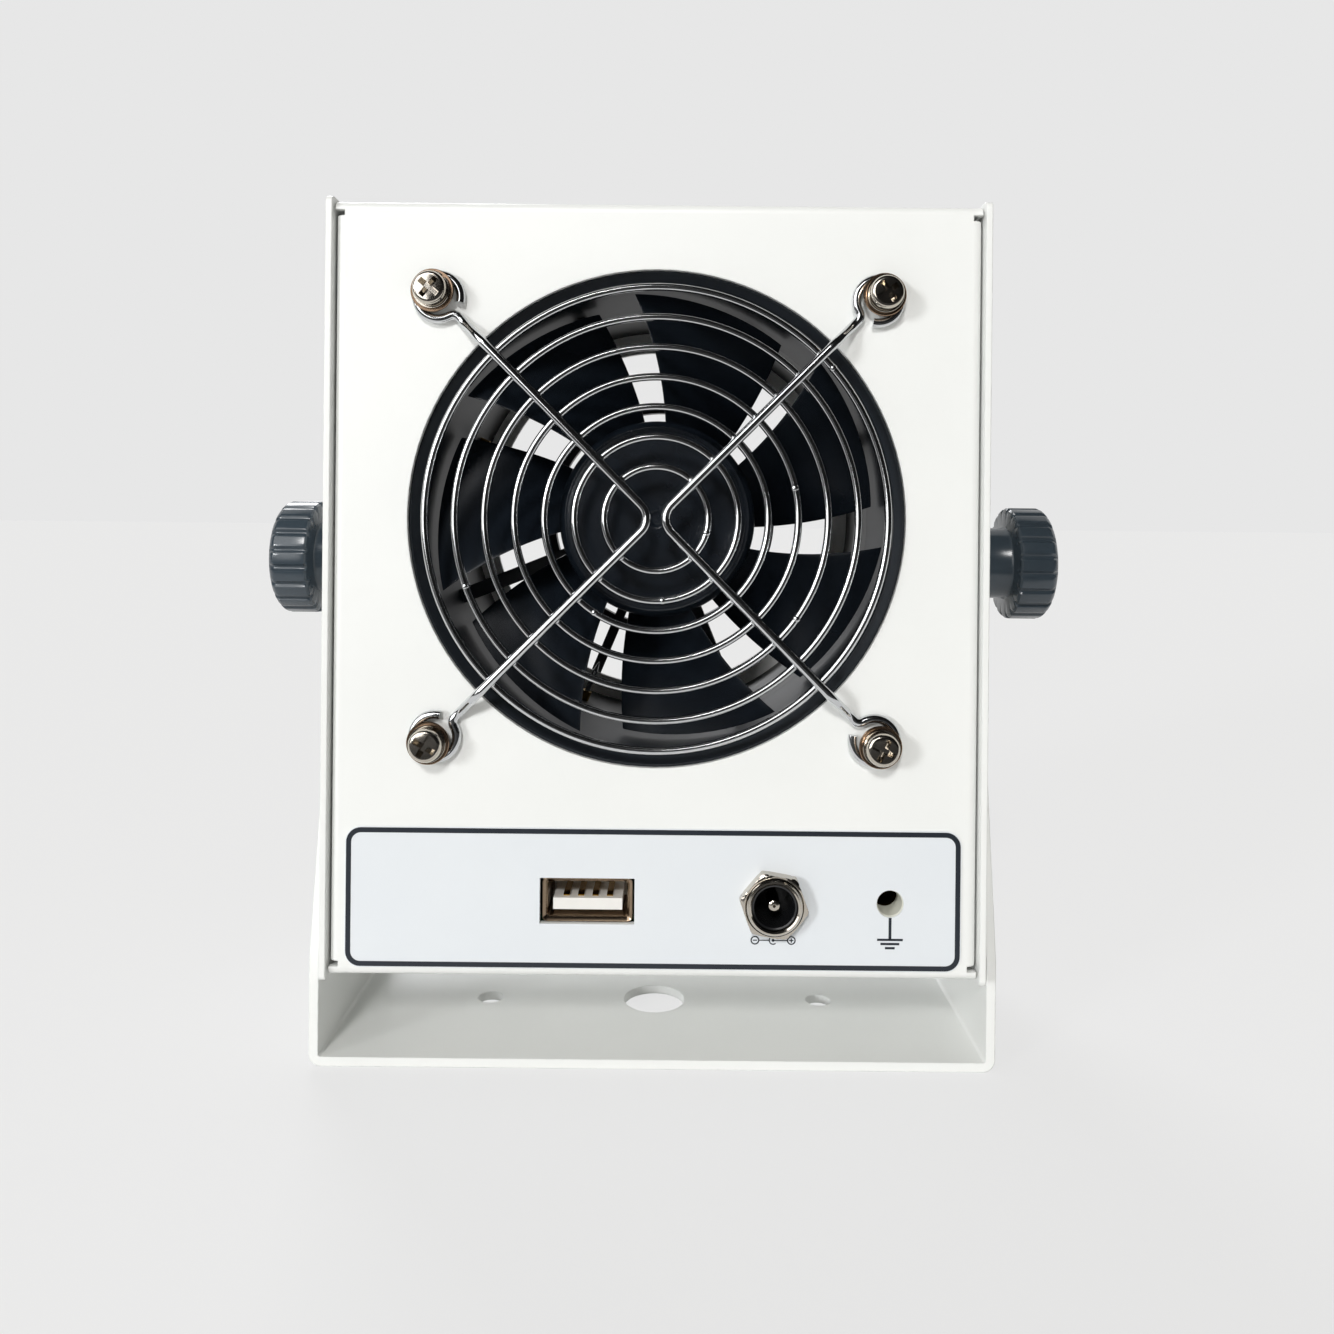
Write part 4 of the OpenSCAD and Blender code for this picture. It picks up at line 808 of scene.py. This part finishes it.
# Epoxy and sleeving of the board's parts and the potted module: near black, dull.
epoxy = finish("potting epoxy", "#202227", "#2a2c31", 5, 0.8, 0.02, Roughness=0.5, IOR=1.55)
dress(laminate, "control_board")
dress(epoxy, "board_components", "hv_module")
dress(nickel, "board_spacers")
dress(zinc, "board_screws", "hv_screws")


# ---- Power switch -----------------------------------------------------------------
# A snap-in rocker: a moulded bezel with a V-shaped rocker marked with the usual
# line and circle.

switch_black = finish("glossy black nylon", "#17181b", "#1e2023", 6, 0.8, 0.006, edge_mm=0.25,
                      Roughness=0.24, IOR=1.53)
white_ink = finish("white pad print", "#e8e9e8", "#dfe0df", 3, 0.3, 0.002, Roughness=0.45, IOR=1.5)
dress(switch_black, "switch_body", "switch_rocker")

rock = next(j for j in frame["joints"] if j["name"] == "power_rock")
hinge = Vector(rock["pos_m"])
tilt = math.radians(8)
rocker_half = 8.2
rocker_place = (Matrix.Translation(hinge) @ Matrix.Rotation(-tilt, 4, "Z")
                @ Matrix.Rotation(-math.pi / 2, 4, "X"))
slope = math.atan2(1.2, rocker_half - 0.6)
mark_x = 0.0045
mark_lift = 0.00242
marks = bmesh.new()
ribbon(marks, [(0, -1.6), (0, 1.6)], 0.55)
on_place = rocker_place @ Matrix.Rotation(-slope, 4, "Y") @ Matrix.Translation((mark_x, 0, mark_lift))
printed("switch_on_mark", marks, on_place, "rocker", white_ink)
marks = bmesh.new()
ribbon(marks, bend((0, 0), 1.5, 0, 360, 32)[:-1], 0.5, closed=True)
off_place = rocker_place @ Matrix.Rotation(slope, 4, "Y") @ Matrix.Translation((-mark_x, 0, mark_lift))
printed("switch_off_mark", marks, off_place, "rocker", white_ink)


# ---- Speed control ------------------------------------------------------------------
# A fluted knob on a panel potentiometer, with a white pointer and a printed
# scale of dots round it.

dress(zinc, "speed_pot")
dress(nickel, "speed_pot_nut", "speed_shaft")
turn_joint = next(j for j in frame["joints"] if j["name"] == "speed_turn")
dial_low, dial_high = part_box("speed_knob")
dial_x = turn_joint["pos_m"][0]
dial_z = turn_joint["pos_m"][2]
dial_ridges = 18


def dial_flutes(angle, radius, height):
    """Rounded flutes up the dial's skirt."""
    if height < 2.05 or radius < 5.9:
        return radius
    across = abs((angle * dial_ridges / (2 * math.pi)) % 1 - 0.5) * 2 * math.pi * 7 / dial_ridges
    return radius - 0.45 * max(0, 1 - (across / 0.8) ** 2) * min(1, (radius - 5.6) / 0.6)


dial_profile = [(0, 0), (7.1, 0), (7.5, 0.3), (7.5, 1.4), (7.2, 1.8), (6.95, 2.1), (6.85, 2.6), (6.5, 9.0),
                (6.3, 9.5), (5.8, 9.85), (5.2, 10.0), (4.6, 9.95), (4.2, 9.7), (0, 9.6)]
dial = piece("speed_dial", turned(dial_profile, dial_ridges * 14, dial_flutes),
             frontward(dial_x, dial_low.y, dial_z), "speed_control", switch_black)
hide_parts("speed_knob")
marks = bmesh.new()
ribbon(marks, [(0, -1.0), (0, -5.6)], 0.7)
printed("dial_pointer", marks, frontward(dial_x, dial_high.y - 0.00002, dial_z), "speed_control", white_ink)

dots_tree, given = new_tree("dots round a dial", Dots="Int", Dial_radius="Float", Dot_radius="Float",
                            Sweep="Float")
index = add(dots_tree, "GeometryNodeInputIndex")
last = add(dots_tree, "ShaderNodeMath", {0: given["Dots"], 1: 1}, operation="SUBTRACT")
share = add(dots_tree, "ShaderNodeMath", {0: index.outputs[0], 1: last.outputs[0]}, operation="DIVIDE")
centred = add(dots_tree, "ShaderNodeMath", {0: share.outputs[0], 1: 0.5}, operation="SUBTRACT")
angle = add(dots_tree, "ShaderNodeMath", {0: centred.outputs[0], 1: given["Sweep"]}, operation="MULTIPLY")
sine = add(dots_tree, "ShaderNodeMath", {0: angle.outputs[0]}, operation="SINE")
cosine = add(dots_tree, "ShaderNodeMath", {0: angle.outputs[0]}, operation="COSINE")
right = add(dots_tree, "ShaderNodeMath", {0: sine.outputs[0], 1: given["Dial radius"]}, operation="MULTIPLY")
up = add(dots_tree, "ShaderNodeMath", {0: cosine.outputs[0], 1: given["Dial radius"]}, operation="MULTIPLY")
upward = add(dots_tree, "ShaderNodeMath", {0: up.outputs[0], 1: -1}, operation="MULTIPLY")
spot = add(dots_tree, "ShaderNodeCombineXYZ", {0: right.outputs[0], 1: upward.outputs[0]})
seeds = add(dots_tree, "GeometryNodeMeshLine", {"Count": given["Dots"], "Offset": (0, 0, 0)})
placed = add(dots_tree, "GeometryNodeSetPosition", {"Geometry": seeds.outputs[0], "Position": spot.outputs[0]})
growing = add(dots_tree, "ShaderNodeMath", {0: share.outputs[0], 1: 0.7, 2: 0.6}, operation="MULTIPLY_ADD")
dot = add(dots_tree, "GeometryNodeMeshCylinder", {"Vertices": 24, "Radius": given["Dot radius"], "Depth": 0.02})
dots = add(dots_tree, "GeometryNodeInstanceOnPoints",
           {"Points": placed.outputs[0], "Instance": dot.outputs["Mesh"], "Scale": growing.outputs[0]})
end_tree(dots_tree, dots.outputs[0], given)
front_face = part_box("front_panel")[1].y
dial_dots = {"Dots": 11, "Dial radius": 9.6, "Dot radius": 0.5, "Sweep": math.radians(300)}
grow("speed_scale", dots_tree, dial_dots, ink, frontward(dial_x, front_face + 0.00002, dial_z), "housing")


# ---- Status lamp ------------------------------------------------------------------
# A green LED in the front panel.

lamp_green = finish("green LED epoxy", "#8fce9c", "#7fc08d", 1, 0.3, 0.002, Roughness=0.15, IOR=1.53,
                    Transmission_Weight=0.3)
dress(lamp_green, "status_led")


# ---- Studio -------------------------------------------------------------------------
# A pale floor and a plain pale surround. A broad key light comes from the left
# of the camera, a front light from above the camera and a third from behind the
# blower. Dark flags, which only show in polish, give metal its dark edges.

backdrop = srgb("#e7e7e7")


def staged(name, bm, material):
    """Makes a studio mesh with its material, attached to no body."""
    mesh = bpy.data.meshes.new(name)
    bm.to_mesh(mesh)
    bm.free()
    mesh.materials.append(material)
    made = bpy.data.objects.new(name, mesh)
    scene.collection.objects.link(made)
    return made


paper = bpy.data.materials.new("pale studio paper")
paper.use_nodes = True
tree = paper.node_tree
tree.nodes.clear()
rays = add(tree, "ShaderNodeLightPath")
seen = add(tree, "ShaderNodeMath", {0: rays.outputs["Is Camera Ray"], 1: rays.outputs["Is Glossy Ray"]},
           operation="MAXIMUM")
share = add(tree, "ShaderNodeMath", {0: seen.outputs[0], 1: 0.8}, operation="MULTIPLY")
lit = add(tree, "ShaderNodeBsdfDiffuse", {"Color": srgb("#f0f0f0")})
even = add(tree, "ShaderNodeEmission", {"Color": backdrop, "Strength": 1.05})
mixed = add(tree, "ShaderNodeMixShader", {0: share.outputs[0], 1: lit.outputs[0], 2: even.outputs[0]})
add(tree, "ShaderNodeOutputMaterial", {"Surface": mixed.outputs[0]})
sheet = bmesh.new()
bmesh.ops.create_grid(sheet, x_segments=1, y_segments=1, size=12)
staged("floor", sheet, paper)

world = bpy.data.worlds.new("studio")
scene.world = world
world.use_nodes = True
tree = world.node_tree
tree.nodes.clear()
rays = add(tree, "ShaderNodeLightPath")
seen = add(tree, "ShaderNodeMath", {0: rays.outputs["Is Camera Ray"], 1: rays.outputs["Is Transmission Ray"]},
           operation="MAXIMUM")
shown = add(tree, "ShaderNodeMath", {0: seen.outputs[0], 1: rays.outputs["Is Glossy Ray"]}, operation="MAXIMUM")
ambient = add(tree, "ShaderNodeBackground", {"Color": (1.0, 0.97, 0.9, 1), "Strength": 0.3})
surround = add(tree, "ShaderNodeBackground", {"Color": backdrop, "Strength": 1.0})
mixed = add(tree, "ShaderNodeMixShader", {0: shown.outputs[0], 1: ambient.outputs[0], 2: surround.outputs[0]})
add(tree, "ShaderNodeOutputWorld", {"Surface": mixed.outputs[0]})


def broad_light(name, azimuth, height, strength, width, colour):
    """An even light from one direction, in degrees; azimuth 0 is behind the camera and grows to its left."""
    aim = Vector((-math.sin(math.radians(azimuth)), -math.cos(math.radians(azimuth)), 0))
    aim = aim * math.cos(math.radians(height)) + Vector((0, 0, math.sin(math.radians(height))))
    lamp = bpy.data.objects.new(name, bpy.data.lights.new(name, "SUN"))
    lamp.data.energy = strength
    lamp.data.angle = math.radians(width)
    lamp.data.color = colour
    lamp.rotation_euler = aim.to_track_quat("Z", "Y").to_euler()
    scene.collection.objects.link(lamp)
    return aim


key_aim = broad_light("key light", 46, 11, 1.2, 12, (0.98, 0.99, 1.0))
broad_light("front light", 10, 33, 1.4, 9, (1.0, 0.99, 0.98))
broad_light("outlet light", 155, 35, 1.3, 25, (0.97, 0.98, 1.0))

# The flags: half a sphere of felt on the camera's side, open round the key light
# and with a lit panel of silk to the left, and a dark sheet on the floor in front.
key_opening = 12
silk_azimuth = (16, 68)
silk_top = 44
flags = bmesh.new()
bmesh.ops.create_uvsphere(flags, u_segments=72, v_segments=48, radius=1.5)
opened = []
for face in flags.faces:
    way = face.calc_center_median().normalized()
    height = math.degrees(math.asin(way.z))
    azimuth = math.degrees(math.atan2(-way.x, -way.y))
    if way.z < 0 or way.y > 0.2 or math.degrees(way.angle(key_aim)) < key_opening:
        opened.append(face)
    elif silk_azimuth[0] < azimuth < silk_azimuth[1] and height < silk_top:
        face.material_index = 1
bmesh.ops.delete(flags, geom=opened, context="FACES")
flags.faces.new([flags.verts.new((x, y, 0.003))
                 for x, y in ((-1.2, -1.5), (1.2, -1.5), (1.2, -0.12), (-1.2, -0.12))])
felt = finish("black felt", "#0c0c0d", "#101011", 40, 2, 0.1, Roughness=0.95)
silk = finish("lit white silk", "#ffffff", "#fafafa", 40, 2, 0.1, Roughness=0.9, Emission_Color=(1, 1, 1, 1),
              Emission_Strength=2.0)
dark = staged("flags", flags, felt)
dark.data.materials.append(silk)
dark.visible_camera = False
dark.visible_diffuse = False
dark.visible_shadow = False
dark.visible_transmission = False
